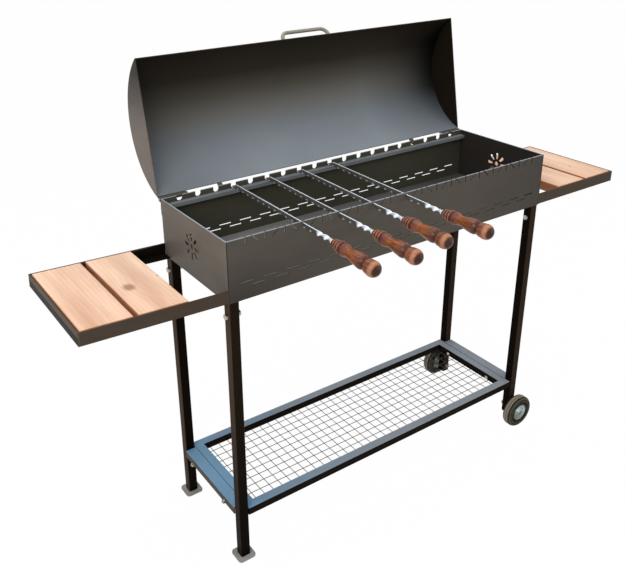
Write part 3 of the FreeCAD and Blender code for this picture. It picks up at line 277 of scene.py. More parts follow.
class Paint:
    """A material, or a world, whose node tree is built with short calls."""

    def __init__(self, name, library="materials"):
        self.block = getattr(bpy.data, library).new(name)
        self.block.use_nodes = True
        self.tree = self.block.node_tree
        self.tree.nodes.clear()
        self.axes = None

    def node(self, kind, settings=None, inputs=None, output=0):
        """Add a node: its settings first, then its values and links."""
        node = self.tree.nodes.new(kind)
        for key, value in (settings or {}).items():
            if key == "stops":
                ramp = node.color_ramp
                while len(ramp.elements) < len(value):
                    ramp.elements.new(0.5)
                for element, (place, colour) in zip(ramp.elements, value):
                    element.position = place
                    element.color = (*colour, 1)
            else:
                setattr(node, key, value)
        for key, value in (inputs or {}).items():
            if isinstance(value, Wire):
                self.tree.links.new(value.socket, node.inputs[key])
            else:
                node.inputs[key].default_value = value
        return Wire(self, node.outputs[output]) if len(node.outputs) else None

    def function(self, operation, *values):
        """A Math node such as ADD, SQRT, MINIMUM or FRACT."""
        return self.node("ShaderNodeMath", {"operation": operation}, dict(enumerate(values)))

    def parts(self, vector):
        """The three parts of a vector."""
        split = self.node("ShaderNodeSeparateXYZ", None, {0: vector})
        return [Wire(self, socket) for socket in split.socket.node.outputs]

    def axis(self, number):
        """One of the object's own coordinates, in metres."""
        if self.axes is None:
            self.axes = self.parts(self.node("ShaderNodeTexCoord", output="Object"))
        return self.axes[number]

    def place(self, scale=(1, 1, 1)):
        """Object coordinates in metres, scaled along each axis."""
        spot = self.node("ShaderNodeTexCoord", output="Object")
        return self.node(
            "ShaderNodeMapping", {"vector_type": "POINT"}, {"Vector": spot, "Scale": scale}
        )

    def distance(self, first, second):
        """Length of the line whose parts along two axes are given."""
        return self.function("SQRT", first * first + second * second)

    def between(self, wire, low, high, to_low=0.0, to_high=1.0):
        """Map low..high onto to_low..to_high, held at both ends."""
        return self.node(
            "ShaderNodeMapRange",
            {"clamp": True},
            {"Value": wire, 1: low, 2: high, 3: to_low, 4: to_high},
        )

    def band(self, wire, low, high, soft):
        """1 between low and high, falling to 0 over soft on both sides."""
        return self.between(wire, low - soft, low) * self.between(wire, high + soft, high)

    def noise(self, spot, scale, detail, rough=0.55, warp=0.0):
        """Cloudy pattern round 0.5, with about scale blots to the metre."""
        return self.node(
            "ShaderNodeTexNoise",
            {"noise_dimensions": "3D"},
            {
                "Vector": spot,
                "Scale": scale,
                "Detail": detail,
                "Roughness": rough,
                "Distortion": warp,
            },
            "Fac",
        )

    def ramp(self, wire, stops):
        """Colours at given places between 0 and 1, blended in between."""
        return self.node("ShaderNodeValToRGB", {"stops": stops}, {"Fac": wire})

    def mix(self, share, first, second):
        """Blend two colours, each a wire or three numbers."""
        first, second = (
            c if isinstance(c, Wire) else (*c, 1) for c in (first, second)
        )
        return self.node(
            "ShaderNodeMix",
            {"data_type": "RGBA", "blend_type": "MIX", "clamp_factor": True},
            {0: share, 6: first, 7: second},
            2,
        )

    def scale(self, colour, factor):
        """A colour made lighter or darker."""
        return self.node(
            "ShaderNodeVectorMath", {"operation": "SCALE"}, {0: colour, "Scale": factor}
        )

    def bump(self, height, strength, distance):
        """Surface direction with a height pattern pressed into it."""
        return self.node(
            "ShaderNodeBump",
            None,
            {"Height": height, "Strength": strength, "Distance": distance},
        )

    def finish(self, **inputs):
        """Principled shader with the given inputs, as the material's surface."""
        shader = self.node(
            "ShaderNodeBsdfPrincipled",
            None,
            {key.replace("_", " "): value for key, value in inputs.items()},
        )
        self.node("ShaderNodeOutputMaterial", None, {"Surface": shader})
        return self.block


def toned(colour, factor):
    """A colour times one factor, or times a factor for each of its parts."""
    factors = factor if isinstance(factor, tuple) else (factor, factor, factor)
    return [part * share for part, share in zip(colour, factors)]


def enamel(name, base, rough=0.42, gleam=0.04, tints=(), dust=0.5):
    """Dark enamel with fine grain, smears and specks of dust.

    Each tint is a colour and its bands (axis, low, high, soft): it colours what lies
    inside all of them, such as one face of the node.
    """
    p = Paint(name)
    spot = p.place()
    cloud = p.noise(spot, 8, 5)
    speck = p.noise(spot, SPECK, 2, 0.5)
    smear = p.noise(p.place((1.5, 1.5, 10)), 6, 4)
    paint = base
    for tint, *bands in tints:
        share = 1.0
        for axis, low, high, soft in bands:
            share = p.band(p.axis(axis), low, high, soft) * share
        paint = p.mix(share, paint, tint)
    paint = p.scale(paint, 0.72 + cloud * 0.32 + smear * 0.24)
    paint = p.mix(p.between(speck, 0.60, 0.80) * dust, paint, p.scale(paint, 1.8))
    grain = p.noise(spot, FINE_GRAIN, 3, 0.6)
    return p.finish(
        Base_Color=paint,
        Roughness=rough + (cloud - 0.5) * 0.2 + (speck - 0.5) * 0.12,
        Specular_IOR_Level=gleam,
        Normal=p.bump(grain, 0.10, 0.0004),
    )


def lid_enamel(name, outside):
    """Lid enamel: plain outside; inside, a painted bluish reflection low down fading to painted
    shade at the top, with painted shade towards both ends.
    """
    p = Paint(name)
    spot = p.place()
    cloud = p.noise(spot, 7, 4)
    speck = p.noise(spot, SPECK, 2, 0.5)
    y = p.axis(Y) - LID_CENTRE[0]
    z = p.axis(Z) - LID_CENTRE[1]
    height = p.between(z + (cloud - 0.5) * 0.02, -0.18, 0.15)
    # Painted shade towards the lid's left end, and towards its right end, weaker low down and at
    # the very top
    left = p.between(p.axis(X), -0.52, -0.2, 0.62, 1.0)
    right = p.between(p.axis(X), 0.22, 0.5) * p.between(height, -0.05, 0.35, 0.25, 1.0)
    right = right * p.between(height, 0.8, 1.0, 1.0, 0.4)
    inside = p.scale(p.ramp(height, LID_PAINTED_SHADING), left * (1.0 - right * 0.95))
    outer = p.between(p.distance(y, z), LID_RADIUS - 0.0012, LID_RADIUS - 0.0008)
    paint = p.scale(p.mix(outer, inside, outside), 0.86 + cloud * 0.28)
    paint = p.mix(p.between(speck, 0.62, 0.8) * 0.3, paint, p.scale(paint, 1.5))
    grain = p.noise(spot, FINE_GRAIN, 3, 0.6)
    return p.finish(
        Base_Color=paint,
        Roughness=0.46 + (cloud - 0.5) * 0.2,
        Specular_IOR_Level=0.10,
        Normal=p.bump(grain, 0.08, 0.0004),
    )


def plated_metal(name, colour, rough):
    """Plated metal with cloudy tarnish and pale scuffs."""
    p = Paint(name)
    spot = p.place()
    cloud = p.noise(spot, 45, 5)
    fine = p.noise(spot, 300, 4, 0.6)
    base = p.mix(p.between(cloud, 0.5, 0.8) * 0.45, colour, TARNISH)
    base = p.mix(p.between(fine, 0.55, 0.75) * 0.2, base, SCUFF)
    return p.finish(
        Base_Color=base,
        Metallic=1.0,
        Roughness=rough + (cloud - 0.5) * 0.25 + (fine - 0.5) * 0.15,
        Normal=p.bump(fine, 0.15, 0.0003),
    )


def blade_steel(name, colour):
    """Ground steel: dull sides, a painted highlight along the back, the twist painted bright,
    bright notches low on the blade.
    """
    p = Paint(name)
    along, height, _ = p.parts(p.node("ShaderNodeUVMap", {"uv_map": "blade"}))
    cloud = p.noise(p.place((1, 0.15, 1)), 70, 4)
    fine = p.noise(p.place((1, 0.04, 1)), 420, 4, 0.6)
    base = p.mix(p.between(cloud, 0.4, 0.75) * 0.5, colour, toned(colour, 0.4))
    base = p.mix(p.between(fine, 0.5, 0.75) * 0.25, base, toned(colour, 3))
    notch = p.band(p.function("FRACT", along / NOTCH_PITCH), 0.36, 0.56, 0.07)
    notch = notch * p.between(along, 0.075, 0.08)
    notch = notch * p.between(height, -0.0015, -0.0035) * 0.8
    # Painted highlight along the blade's back
    back = p.between(height, BLADE_HEIGHT / 2 - 0.0011, BLADE_HEIGHT / 2 - 0.0003)
    back = back * (0.75 + fine * 0.4)
    twist_end = FERRULE + BLADE_TWIST
    twist = p.between(along, twist_end + 0.004, twist_end - 0.001)
    base = p.mix(notch, base, BRIGHT)
    base = p.mix(back, base, BRIGHT)
    base = p.mix(twist, base, p.scale(BRIGHT, 0.80 + cloud * 0.35))
    brightened = p.function("MAXIMUM", p.function("MAXIMUM", notch, back), twist)
    return p.finish(
        Base_Color=base,
        Metallic=0.35 - brightened * 0.1,
        Roughness=0.46 + (cloud - 0.5) * 0.25 + (fine - 0.5) * 0.12,
        Normal=p.bump(fine, 0.15, 0.0003),
    )


def hub_zinc(name, colour):
    """Plated pressed disc: painted highlights on the edges of its steps, strongest towards the
    top, painted shade beside them and in the axle hole, and a lighter rim.
    """
    p = Paint(name)
    spot = p.place()
    cloud = p.noise(spot, 60, 4)
    fine = p.noise(spot, 380, 4, 0.6)
    x = p.axis(X) - WHEEL_X
    z = p.axis(Z) - WHEEL_Z
    radius = p.distance(x, z)
    base = p.mix(p.between(cloud, 0.4, 0.7) * 0.6, colour, toned(colour, 0.6))
    lit = p.between(z + x * 0.4, -0.012, 0.012, 0.15, 0.85)
    # Painted highlights on the steps' edges, and painted shade just outside each
    for ring in HUB_RINGS:
        base = p.mix(p.band(radius, ring - 0.0012, ring, 0.0006) * lit, base, PAINTED_GLINT)
        base = p.mix(p.band(radius, ring + 0.0008, ring + 0.0016, 0.0005) * 0.5, base, HUB_PAINTED_SHADE)
    base = p.mix(p.between(radius, HUB_EDGE - 0.0004, HUB_EDGE + 0.0004), base, toned(colour, 1.6))
    # Painted shade in the axle hole
    base = p.mix(p.between(radius, AXLE_HOLE + 0.0003, AXLE_HOLE - 0.0003), base, HUB_PAINTED_SHADE)
    return p.finish(
        Base_Color=base,
        Metallic=0.85,
        Roughness=0.38 + (cloud - 0.5) * 0.25,
        Normal=p.bump(fine, 0.2, 0.0003),
    )


def board_wood(name, pale, oiled):
    """Pale softwood with grain along Y, growth bands, stains, knots and oiled edges."""
    p = Paint(name)
    side, end, _ = p.parts(p.node("ShaderNodeUVMap", {"uv_map": "face"}))
    wander = p.noise(p.place((1, 0.12, 1)), 16, 3)
    stain = p.noise(p.place((1, 0.35, 1)), 7, 4)
    streak = p.noise(p.place((1, 0.012, 1)), 650, 4, 0.6)
    fibre = p.noise(p.place((1, 0.03, 1)), 210, 3, 0.6)
    x = p.axis(X)
    y = p.axis(Y)
    swirl = 0.0
    knots = 0.0
    for knot_x, knot_y, size in KNOTS:
        away = p.distance((x - knot_x) / size, (y - knot_y) / (size * 1.25))
        swirl = p.between(away, 3.2, 0.6) * 0.011 + swirl
        knot = p.between(away + (fibre - 0.5) * 0.7, 1.05, 0.45)
        knots = p.function("MAXIMUM", knot, knots)
    across = x + swirl + (wander - 0.5) * 0.03
    bands = p.node(
        "ShaderNodeTexWave",
        {"wave_type": "BANDS", "bands_direction": "X", "wave_profile": "SAW"},
        {
            "Vector": p.node("ShaderNodeCombineXYZ", None, {0: across, 1: y * 0.07}),
            "Scale": 30,
            "Distortion": 2.5,
            "Detail": 3,
            "Detail Scale": 1.2,
            "Detail Roughness": 0.5,
        },
        "Fac",
    )
    dark = toned(pale, GRAIN)
    base = p.mix(p.between(bands, 0.35, 1.0) * 0.42, pale, dark)
    base = p.mix(p.between(stain, 0.48, 0.75) * 0.45, base, dark)
    base = p.mix(p.between(fibre, 0.52, 0.8) * 0.3, base, FIBRE)
    base = p.mix(p.between(streak, 0.52, 0.75) * 0.3, base, oiled)
    base = p.mix(knots * 0.75, base, KNOT)
    rub = p.function("MINIMUM", side, end) + (wander - 0.5) * 0.005
    base = p.mix(p.between(rub, 0.0036, 0.0), base, oiled)
    # Painted shade low on the sides of the left boards, next to the frame
    low = p.between(p.axis(Z), TABLE_TOP - 0.006, TABLE_TOP - 0.012)
    base = p.mix(low * p.between(x, 0.5, 0.45), base, toned(oiled, 0.6))
    return p.finish(
        Base_Color=base,
        Roughness=0.55 + (streak - 0.5) * 0.2,
        Specular_IOR_Level=0.3,
        Normal=p.bump(streak + bands * 0.3, 0.16, 0.0004),
    )


def grip_wood(name, wood):
    """Lacquered turned wood: fine streaks along it, painted shade in the grooves and on the knob's
    end, painted highlights on the ring crests and round the knob.
    """
    p = Paint(name)
    along, radius, _ = p.parts(p.node("ShaderNodeUVMap", {"uv_map": "grip"}))
    streak = p.noise(p.place((1, 0.05, 1)), 330, 4, 0.6, 0.4)
    cloud = p.noise(p.place((1, 0.3, 1)), 45, 3)
    tones = [(place, toned(wood, tone)) for place, tone in GRIP_TONES_AND_PAINTED_LIGHT]
    base = p.ramp(along / GRIP_LENGTH + (cloud - 0.5) * 0.08, tones)
    base = p.scale(base, p.between(streak, 0.3, 0.7, 0.35, 1.35) * (0.55 + cloud * 0.8))
    for groove in GROOVES:
        base = p.mix(p.band(along, groove - 0.0008, groove + 0.0008, 0.0016) * 0.8, base, SHADE)
    # Painted highlights on the ring crests, and round the knob below
    for crest in CRESTS:
        share = p.band(along, crest - 0.0002, crest + 0.0004, 0.0007)
        base = p.mix(share * p.between(cloud, 0.25, 0.5) * 0.75, base, CREST_HIGHLIGHT)
    base = p.mix(p.band(along, KNOB_AT + 0.004, KNOB_AT + 0.009, 0.004) * 0.5, base, CREST_HIGHLIGHT)
    base = p.mix(p.between(along, KNOB_AT + 0.0110, KNOB_AT + 0.0135) * 0.85, base, SHADE)
    knob_end = p.between(along, KNOB_AT + 0.0115, KNOB_AT + 0.0135)
    base = p.mix(p.between(radius, 0.006, 0.003) * knob_end, base, SHADE)
    return p.finish(
        Base_Color=base,
        Roughness=0.36 + (streak - 0.5) * 0.12,
        Specular_IOR_Level=0.1,
        Coat_Weight=0.16,
        Coat_Roughness=0.16,
        Coat_IOR=1.6,
        Normal=p.bump(streak, 0.1, 0.0003),
    )


def rubber(name, colour, dust):
    """Matt hard rubber: dusty tread and shoulder rings, darker grooved side walls."""
    p = Paint(name)
    spot = p.place()
    cloud = p.noise(spot, 55, 5)
    grit = p.noise(spot, 700, 3, 0.6)
    radius = p.distance(p.axis(X) - WHEEL_X, p.axis(Z) - WHEEL_Z)
    radius = radius + (cloud - 0.5) * 0.0016
    across = p.function("ABSOLUTE", p.axis(Y) - MIDDLE_Y) - WHEEL_OUT
    base = p.mix(p.between(cloud, 0.42, 0.68) * 0.7, colour, toned(dust, 0.2))
    tread = p.between(radius, TYRE_RADIUS - 0.0022, TYRE_RADIUS - 0.0012)
    base = p.mix(tread * p.band(across, -0.0068, 0.0068, 0.0012), base, dust)
    base = p.mix(tread * p.band(across, 0.0012, 0.0022, 0.0010) * 0.6, base, colour)
    base = p.mix(p.band(radius, 0.0372, 0.0384, 0.0012) * 0.3, base, dust)
    base = p.mix(p.band(radius, 0.0445, 0.0460, 0.0012) * 0.35, base, dust)
    base = p.mix(p.between(radius, 0.0292, 0.0282), base, colour)
    base = p.mix(p.between(grit, 0.6, 0.78) * 0.4, base, dust)
    return p.finish(
        Base_Color=base,
        Roughness=0.8 + (grit - 0.5) * 0.2,
        Specular_IOR_Level=0.08,
        Normal=p.bump(grit, 0.25, 0.0005),
    )


# Meshes


def new_piece(name, mesh, paint, body, replaced, sharp=35):
    """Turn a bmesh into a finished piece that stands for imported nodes."""
    bmesh.ops.remove_doubles(mesh, verts=mesh.verts, dist=2e-6)
    bmesh.ops.recalc_face_normals(mesh, faces=mesh.faces)
    data = bpy.data.meshes.new(name)
    mesh.to_mesh(data)
    mesh.free()
    for polygon in data.polygons:
        polygon.use_smooth = True
    data.set_sharp_from_angle(angle=math.radians(sharp))
    data.materials.append(paint)
    piece = bpy.data.objects.new(name, data)
    bpy.context.scene.collection.objects.link(piece)
    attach(piece, body)
    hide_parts(*replaced)
    return piece


def lathe(mesh, profile, steps, centre, axis):
    """Spin points given as (along the axis, radius) once round the axis at centre."""
    axis = Vector(axis).normalized()
    side = axis.orthogonal().normalized()
    verts = [mesh.verts.new(centre + axis * along + side * radius) for along, radius in profile]
    edges = [mesh.edges.new(pair) for pair in zip(verts, verts[1:])]
    bmesh.ops.spin(
        mesh,
        geom=verts + edges,
        cent=centre,
        axis=axis,
        angle=math.tau,
        steps=steps,
        use_merge=True,
        use_duplicate=False,
    )


def round_edges(mesh, edges, radius, steps):
    """Bevel edges to a round."""
    bmesh.ops.bevel(
        mesh,
        geom=edges,
        offset=radius,
        segments=steps,
        profile=0.5,
        affect="EDGES",
        material=-1,
    )


def box_between(mesh, low, high):
    """Box between two opposite corners."""
    made = bmesh.ops.create_cube(mesh, size=1)
    bmesh.ops.scale(mesh, vec=high - low, verts=made["verts"])
    bmesh.ops.translate(mesh, vec=(low + high) / 2, verts=made["verts"])


def slice_across(mesh, places):
    """Cut a mesh across Y at each place, so that it can bend there."""
    for place in places:
        bmesh.ops.bisect_plane(
            mesh,
            geom=mesh.verts[:] + mesh.edges[:] + mesh.faces[:],
            plane_co=(0, place, 0),
            plane_no=(0, 1, 0),
        )


def curve_through(points, steps):
    """Smooth line through points, with the given number of steps from each to the next."""
    out = []
    last = len(points) - 1
    for i in range(last):
        p0 = Vector(points[max(i - 1, 0)])
        p1 = Vector(points[i])
        p2 = Vector(points[i + 1])
        p3 = Vector(points[min(i + 2, last)])
        for j in range(steps):
            t = j / steps
            out.append(
                0.5
                * (
                    2 * p1
                    + (p2 - p0) * t
                    + (2 * p0 - 5 * p1 + 4 * p2 - p3) * t * t
                    + (3 * p1 - p0 - 3 * p2 + p3) * t * t * t
                )
            )
    out.append(Vector(points[last]))
    return [(p[0], p[1]) for p in out]


def tyre_outline():
    """Half a tyre's outline as (along the axle, radius), from its bore to its tread's middle."""
    half = TYRE_HALF
    outline = [
        (half - 0.0020, TYRE_BORE),
        (half - 0.0006, 0.0270),
        (half, 0.0285),
        (half, 0.0335),
        (half - 0.0008, 0.0341),
        (half - 0.0008, 0.0361),
        (half, 0.0367),
        (half, 0.0390),
    ]
    wall = TYRE_RADIUS - TYRE_SHOULDER
    steps = 8
    for i in range(steps + 1):
        turn = math.pi / 2 * i / steps
        inset = TYRE_SHOULDER * (1 - math.cos(turn))
        outline.append((half - inset, wall + TYRE_SHOULDER * math.sin(turn)))
    groove = TYRE_RADIUS - 0.0006
    outline += [(0.0022, TYRE_RADIUS), (0.0018, groove), (0.0012, groove), (0.0008, TYRE_RADIUS)]
    return outline


def grip_outline():
    """A grip's outline from its ferrule to the end of its knob, along -Y."""
    outline = [(0.0, 0.0)] + curve_through(GRIP_PROFILE, 4)
    steps, start, end = 16, math.radians(-35), math.radians(90)
    for i in range(1, steps + 1):
        turn = start + (end - start) * i / steps
        outline.append((KNOB_AT + KNOB_RADIUS * math.sin(turn), KNOB_RADIUS * math.cos(turn)))
    outline[-1] = (KNOB_AT + KNOB_RADIUS, 0.0)
    return [(-along, radius) for along, radius in outline]


def ferrule_y(number):
    """Where a skewer's grip ends and its ferrule begins."""
    return FRONT_Y - SKEWERS[number][1] + KNOB_AT


def skewer_place(number):
    """Matrix that lays a skewer, made along its own Y axis, in its slots."""
    ferrule = ferrule_y(number)
    drop = math.tan(REST_SLOPE) * (BACK_Y - ferrule)
    spot = Vector((SKEWERS[number][0], ferrule, REST_BACK - drop + BLADE_HALF))
    return Matrix.Translation(spot) @ Matrix.Rotation(REST_SLOPE, 4, "X")


def grip_bend(number):
    """Matrix of the slight droop of a skewer's ferrule and grip against its blade."""
    end = Vector((0, FERRULE, 0))
    droop = Matrix.Rotation(math.radians(SKEWERS[number][2]), 4, "X")
    return Matrix.Translation(end) @ droop @ Matrix.Translation(-end)


def blade_bar(mesh, length):
    """Flat bar on edge from the ferrule to the point, cut where it twists and slopes."""
    half = Vector((BLADE_THICK / 2, 0, BLADE_HEIGHT / 2))
    start = Vector((0, FERRULE + 0.0005, 0))
    stop = Vector((0, length - 0.0005, 0))
    box_between(mesh, start - half, stop + half)
    long_edges = [
        e for e in mesh.edges if abs((e.verts[0].co - e.verts[1].co).normalized().y) > 0.9
    ]
    round_edges(mesh, long_edges, 0.0005, 2)
    slice_across(mesh, [FERRULE + BLADE_TWIST * i / TWIST_STEPS for i in range(TWIST_STEPS + 1)])
    slice_across(mesh, [length - back for back in (POINT_LENGTH, 0.012, 0.006)])


def twist_and_point(mesh, length, turns):
    """Turn the stretch next to the ferrule, and slope the back down to the point."""
    for vert in mesh.verts:
        along = vert.co.y
        if along > length - POINT_LENGTH:
            share = (along - length + POINT_LENGTH) / POINT_LENGTH
            remaining = 1 - share * POINT_DROP / (2 * BLADE_HALF)
            vert.co.z = (vert.co.z + BLADE_HALF) * remaining - BLADE_HALF
        back = min(max((FERRULE + BLADE_TWIST - along) / BLADE_TWIST, 0), 1)
        turn = -back * turns * math.tau
        x, z = vert.co.x, vert.co.z
        vert.co.x = x * math.cos(turn) - z * math.sin(turn)
        vert.co.z = x * math.sin(turn) + z * math.cos(turn)


def ferrule(mesh):
    """Turned ferrule round the blade's start, as the vertices that it adds."""
    ring = [
        (0.0002, 0.0),
        (0.0002, 0.0069),
        (0.0006, 0.0073),
        (0.0016, 0.0073),
        (0.0088, 0.0043),
        (0.0097, 0.0038),
        (FERRULE, 0.0030),
        (FERRULE, 0.0),
    ]
    before = set(mesh.verts)
    lathe(mesh, ring, 40, Vector(), (0, 1, 0))
    return [vert for vert in mesh.verts if vert not in before]


# Settings that a user would change


def colour_setting(name, description, default):
    """A colour that the panel shows."""
    return bpy.props.FloatVectorProperty(
        name=name, description=description, subtype="COLOR", default=default, min=0, max=1
    )


class GrillSizes(bpy.types.PropertyGroup):
    board_round: bpy.props.FloatProperty(
        name="Board edge round",
        description="Radius of the boards' rounded edges",
        default=0.0025,
        min=0.0005,
        max=0.006,
        subtype="DISTANCE",
        unit="LENGTH",
    )
    twist_turns: bpy.props.FloatProperty(
        name="Skewer twist",
        description="Number of turns in each skewer's twisted stretch",
        default=1.0,
        min=0.5,
        max=4,
    )


class GrillColours(bpy.types.PropertyGroup):
    firebox: colour_setting(
        "Firebox enamel", "Colour of the firebox's and hinges' enamel", (0.086, 0.073, 0.060)
    )
    lid: colour_setting("Lid enamel", "Colour of the lid's enamel outside", (0.16, 0.135, 0.115))
    frame: colour_setting(
        "Frame enamel",
        "Colour of the enamel of the legs, shelf and table frames",
        (0.0075, 0.0048, 0.0030),
    )
    board: colour_setting("Board wood", "Colour of the boards' bare wood", (0.92, 0.65, 0.47))
    board_edge: colour_setting(
        "Board edges", "Colour of the boards' oiled edges", (0.36, 0.13, 0.055)
    )
    grip: colour_setting(
        "Grip wood", "Colour of the skewers' lacquered grips", (0.25, 0.080, 0.028)
    )
    steel: colour_setting(
        "Skewer steel", "Colour of the dull sides of the skewers' blades", (0.105, 0.098, 0.088)
    )
    zinc: colour_setting(
        "Zinc", "Colour of the plated bolts, nuts, pins, axles and hubs", (0.42, 0.40, 0.36)
    )


def chosen(key):
    """A colour from the settings."""
    return tuple(getattr(bpy.context.scene.grill_colours, key))


def paint_nodes(names, paint):
    """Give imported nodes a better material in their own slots."""
    for name in names:
        node = frame["nodes"][name]
        if not node.data.materials:
            node.data.materials.append(paint)
        for place in node.material_slots:
            place.material = paint


def named(*starts):
    """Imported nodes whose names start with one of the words."""
    found = [n for n in frame["nodes"] if n.startswith(starts)]
    if not found:
        raise RuntimeError(f"no packed node starts with {starts}")
    return found


def outer_face(out, bound):
    """Band that holds an end plate's outer face, on the left (-1) or the right (1)."""
    low, high = sorted((out * FAR, out * bound))
    return (X, low, high, SOFT)


# Operators


class GRILL_OT_firebox(bpy.types.Operator):
    """Enamel of the firebox's walls, floor, end plates and ledge"""

    bl_idname = "grill.firebox"
    bl_label = "Firebox"

    def execute(self, context):
        box = chosen("firebox")
        inner = toned(box, (0.70, 0.78, 0.68))
        # Painted sheen along the walls' top edges, a painted sky reflection
        rim = (PAINTED_SHEEN, (Z, BOX_TOP - SKIN, FAR, 0.0004))
        # Painted shade: the front wall darker towards its right end, and low down at its left end
        right = (toned(box, 0.70), (X, 0.5, FAR, 0.35))
        low = (toned(box, 0.62), (X, -FAR, -0.45, 0.30), (Z, -FAR, 0.74, 0.10))
        inside = (inner, (Y, FRONT_Y + SKIN, FAR, SOFT))
        front = enamel("front_enamel", box, tints=(right, low, inside, rim))
        paint_nodes(["firebox_front"], front)
        inside = (inner, (Y, -FAR, BACK_Y - SKIN, SOFT))
        paint_nodes(["firebox_back"], enamel("back_enamel", box, tints=(inside, rim)))
        for node, out in (("firebox_end_left", -1), ("firebox_end_right", 1)):
            # Inner faces dark, painted shade; outer face lighter, painted light, and lighter still
            # towards the top
            face = outer_face(out, BOX_HALF - SKIN)
            outside = (toned(box, 1.15), face)
            painted_top_light = (toned(box, 1.75), face, (Z, BOX_TOP - 0.02, FAR, 0.13))
            plate = enamel(f"{node}_enamel", toned(box, 0.32), tints=(outside, painted_top_light, rim))
            paint_nodes([node], plate)
        # Floor: pale grey, a painted sky reflection, with painted shade towards the right end
        dark = ((0.060, 0.060, 0.052), (X, 0.40, FAR, 0.70))
        floor = enamel("floor_enamel", (0.19, 0.178, 0.172), 0.6, tints=(dark,))
        paint_nodes(["firebox_floor"], floor)
        paint_nodes(["ledge_rail"], enamel("ledge_enamel", (0.155, 0.165, 0.17), 0.5))
        return {"FINISHED"}


class GRILL_OT_lid(bpy.types.Operator):
    """Enamel of the lid's shell, end plates and handle, and of the hinges and stops"""

    bl_idname = "grill.lid"
    bl_label = "Lid"

    def execute(self, context):
        lid = chosen("lid")
        paint_nodes(["lid_shell"], lid_enamel("lid_enamel", toned(lid, 0.62)))
        for node, out in (("lid_end_left", -1), ("lid_end_right", 1)):
            # Inner faces near black, painted shade; on the outer face a painted sheen across the
            # middle, and darker towards the top
            face = outer_face(out, BOX_HALF + 0.0004)
            outside = (toned(lid, 0.85), face)
            sheen = (toned(lid, 1.1), face, (Z, 0.5, 0.99, 0.10))
            darker_top = (toned(lid, 0.22), face, (Z, 1.16, FAR, 0.11))
            plate = enamel(
                f"{node}_enamel", (0.014, 0.010, 0.006), tints=(outside, sheen, darker_top)
            )
            paint_nodes([node], plate)
        paint_nodes(["lid_handle"], enamel("handle_enamel", (0.24, 0.22, 0.18), 0.4, 0.3))
        small = enamel("hinge_enamel", toned(chosen("firebox"), 0.9), 0.4)
        paint_nodes(named("hinge_leaf", "lid_hinge", "lid_stops"), small)
        return {"FINISHED"}


class GRILL_OT_legs(bpy.types.Operator):
    """Enamel of the legs and their sockets, with painted light on some faces, and the grey foot
    plates
    """

    bl_idname = "grill.legs"
    bl_label = "Legs"

    def execute(self, context):
        legs = chosen("frame")
        near = MIDDLE_Y - LEG_SPREAD - LEG_HALF
        far = MIDDLE_Y + LEG_SPREAD - LEG_HALF
        near_front = (Y, near - 0.001, near + SKIN, SOFT)
        far_front = (Y, far - 0.001, far + SKIN, SOFT)
        outer = (X, -FAR, -LEG_X - LEG_HALF + 0.0008, 2 * SOFT)
        back_half = (Y, MIDDLE_Y, FAR, 0.01)
        upper = (Z, 0.62, FAR, 0.5)
        right = (X, LEG_X - 0.011, FAR, 0.001)
        # Painted light: the front faces of the front legs lighter towards the top, the left faces
        # of the left legs lighter, most up high and on the back leg, and the front faces of the
        # right legs lighter
        paint = enamel(
            "leg_enamel",
            toned(legs, 0.7),
            0.36,
            0.01,
            tints=(
                (toned(legs, 2.0), near_front, upper),
                (toned(legs, 1.6), outer),
                (toned(legs, 6.0), outer, back_half),
                (toned(legs, 8.5), outer, upper),
                (toned(legs, 3.6), right, near_front),
                (toned(legs, 3.6), right, far_front),
            ),
        )
        paint_nodes(named("leg_front", "leg_back", "leg_sockets"), paint)
        foot = enamel("foot_dust", (0.28, 0.275, 0.255), 0.8, 0.1, dust=0.7)
        paint_nodes(named("foot_"), foot)
        return {"FINISHED"}


class GRILL_OT_shelf(bpy.types.Operator):
    """Enamel of the lower shelf's rails and cross bars, and its wire mesh"""

    bl_idname = "grill.shelf"
    bl_label = "Lower shelf"

    def execute(self, context):
        tops = (Z, SHELF_TOP - SOFT, FAR, 0.0002)
        left_end = (X, -FAR, -BOX_HALF + SOFT, SOFT)
        below_top = (Z, -FAR, SHELF_TOP - 0.0015, 0.0006)
        paint = enamel(
            "shelf_enamel",
            toned(chosen("frame"), 1.1),
            0.34,
            0.015,
            tints=(
                # Painted sheen on the tops, a painted sky reflection, bluer towards the left end;
                # the left end face lighter below the top, painted light
                (PAINTED_SHEEN, tops),
                ((0.16, 0.25, 0.34), tops, (X, -FAR, -0.45, 0.42)),
                ((0.17, 0.30, 0.43), tops, (X, -FAR, -0.44, 0.02)),
                ((0.080, 0.064, 0.050), left_end, below_top),
            ),
        )
        paint_nodes(named("shelf_rail", "shelf_cross_bar"), paint)
        paint_nodes(["shelf_mesh"], enamel("mesh_wire", (0.045, 0.038, 0.032), 0.5, 0.2))
        return {"FINISHED"}


class GRILL_OT_tables(bpy.types.Operator):
    """Enamel of the side tables' arms and outer bars"""

    bl_idname = "grill.tables"
    bl_label = "Table frames"

    def execute(self, context):
        legs = chosen("frame")
        # Painted light: the arms a lighter, bluer copy of the frame enamel, the left end face
        # lighter still; painted shade on the faces behind the front, below the top
        end = (toned(legs, (11, 13, 14)), (X, -FAR, -TABLE_END, 0.0008))
        within = (Y, FRONT_Y + SKIN, FAR, SOFT)
        below_top = (Z, -FAR, TABLE_TOP - 0.0015, SOFT)
        paint = enamel(
            "table_enamel",
            toned(legs, (8.5, 9.5, 11)),
            0.4,
            0.03,
            tints=(end, (toned(legs, 0.8), within, below_top)),
        )
        paint_nodes([n for n in named("table_") if "board" not in n], paint)
        return {"FINISHED"}


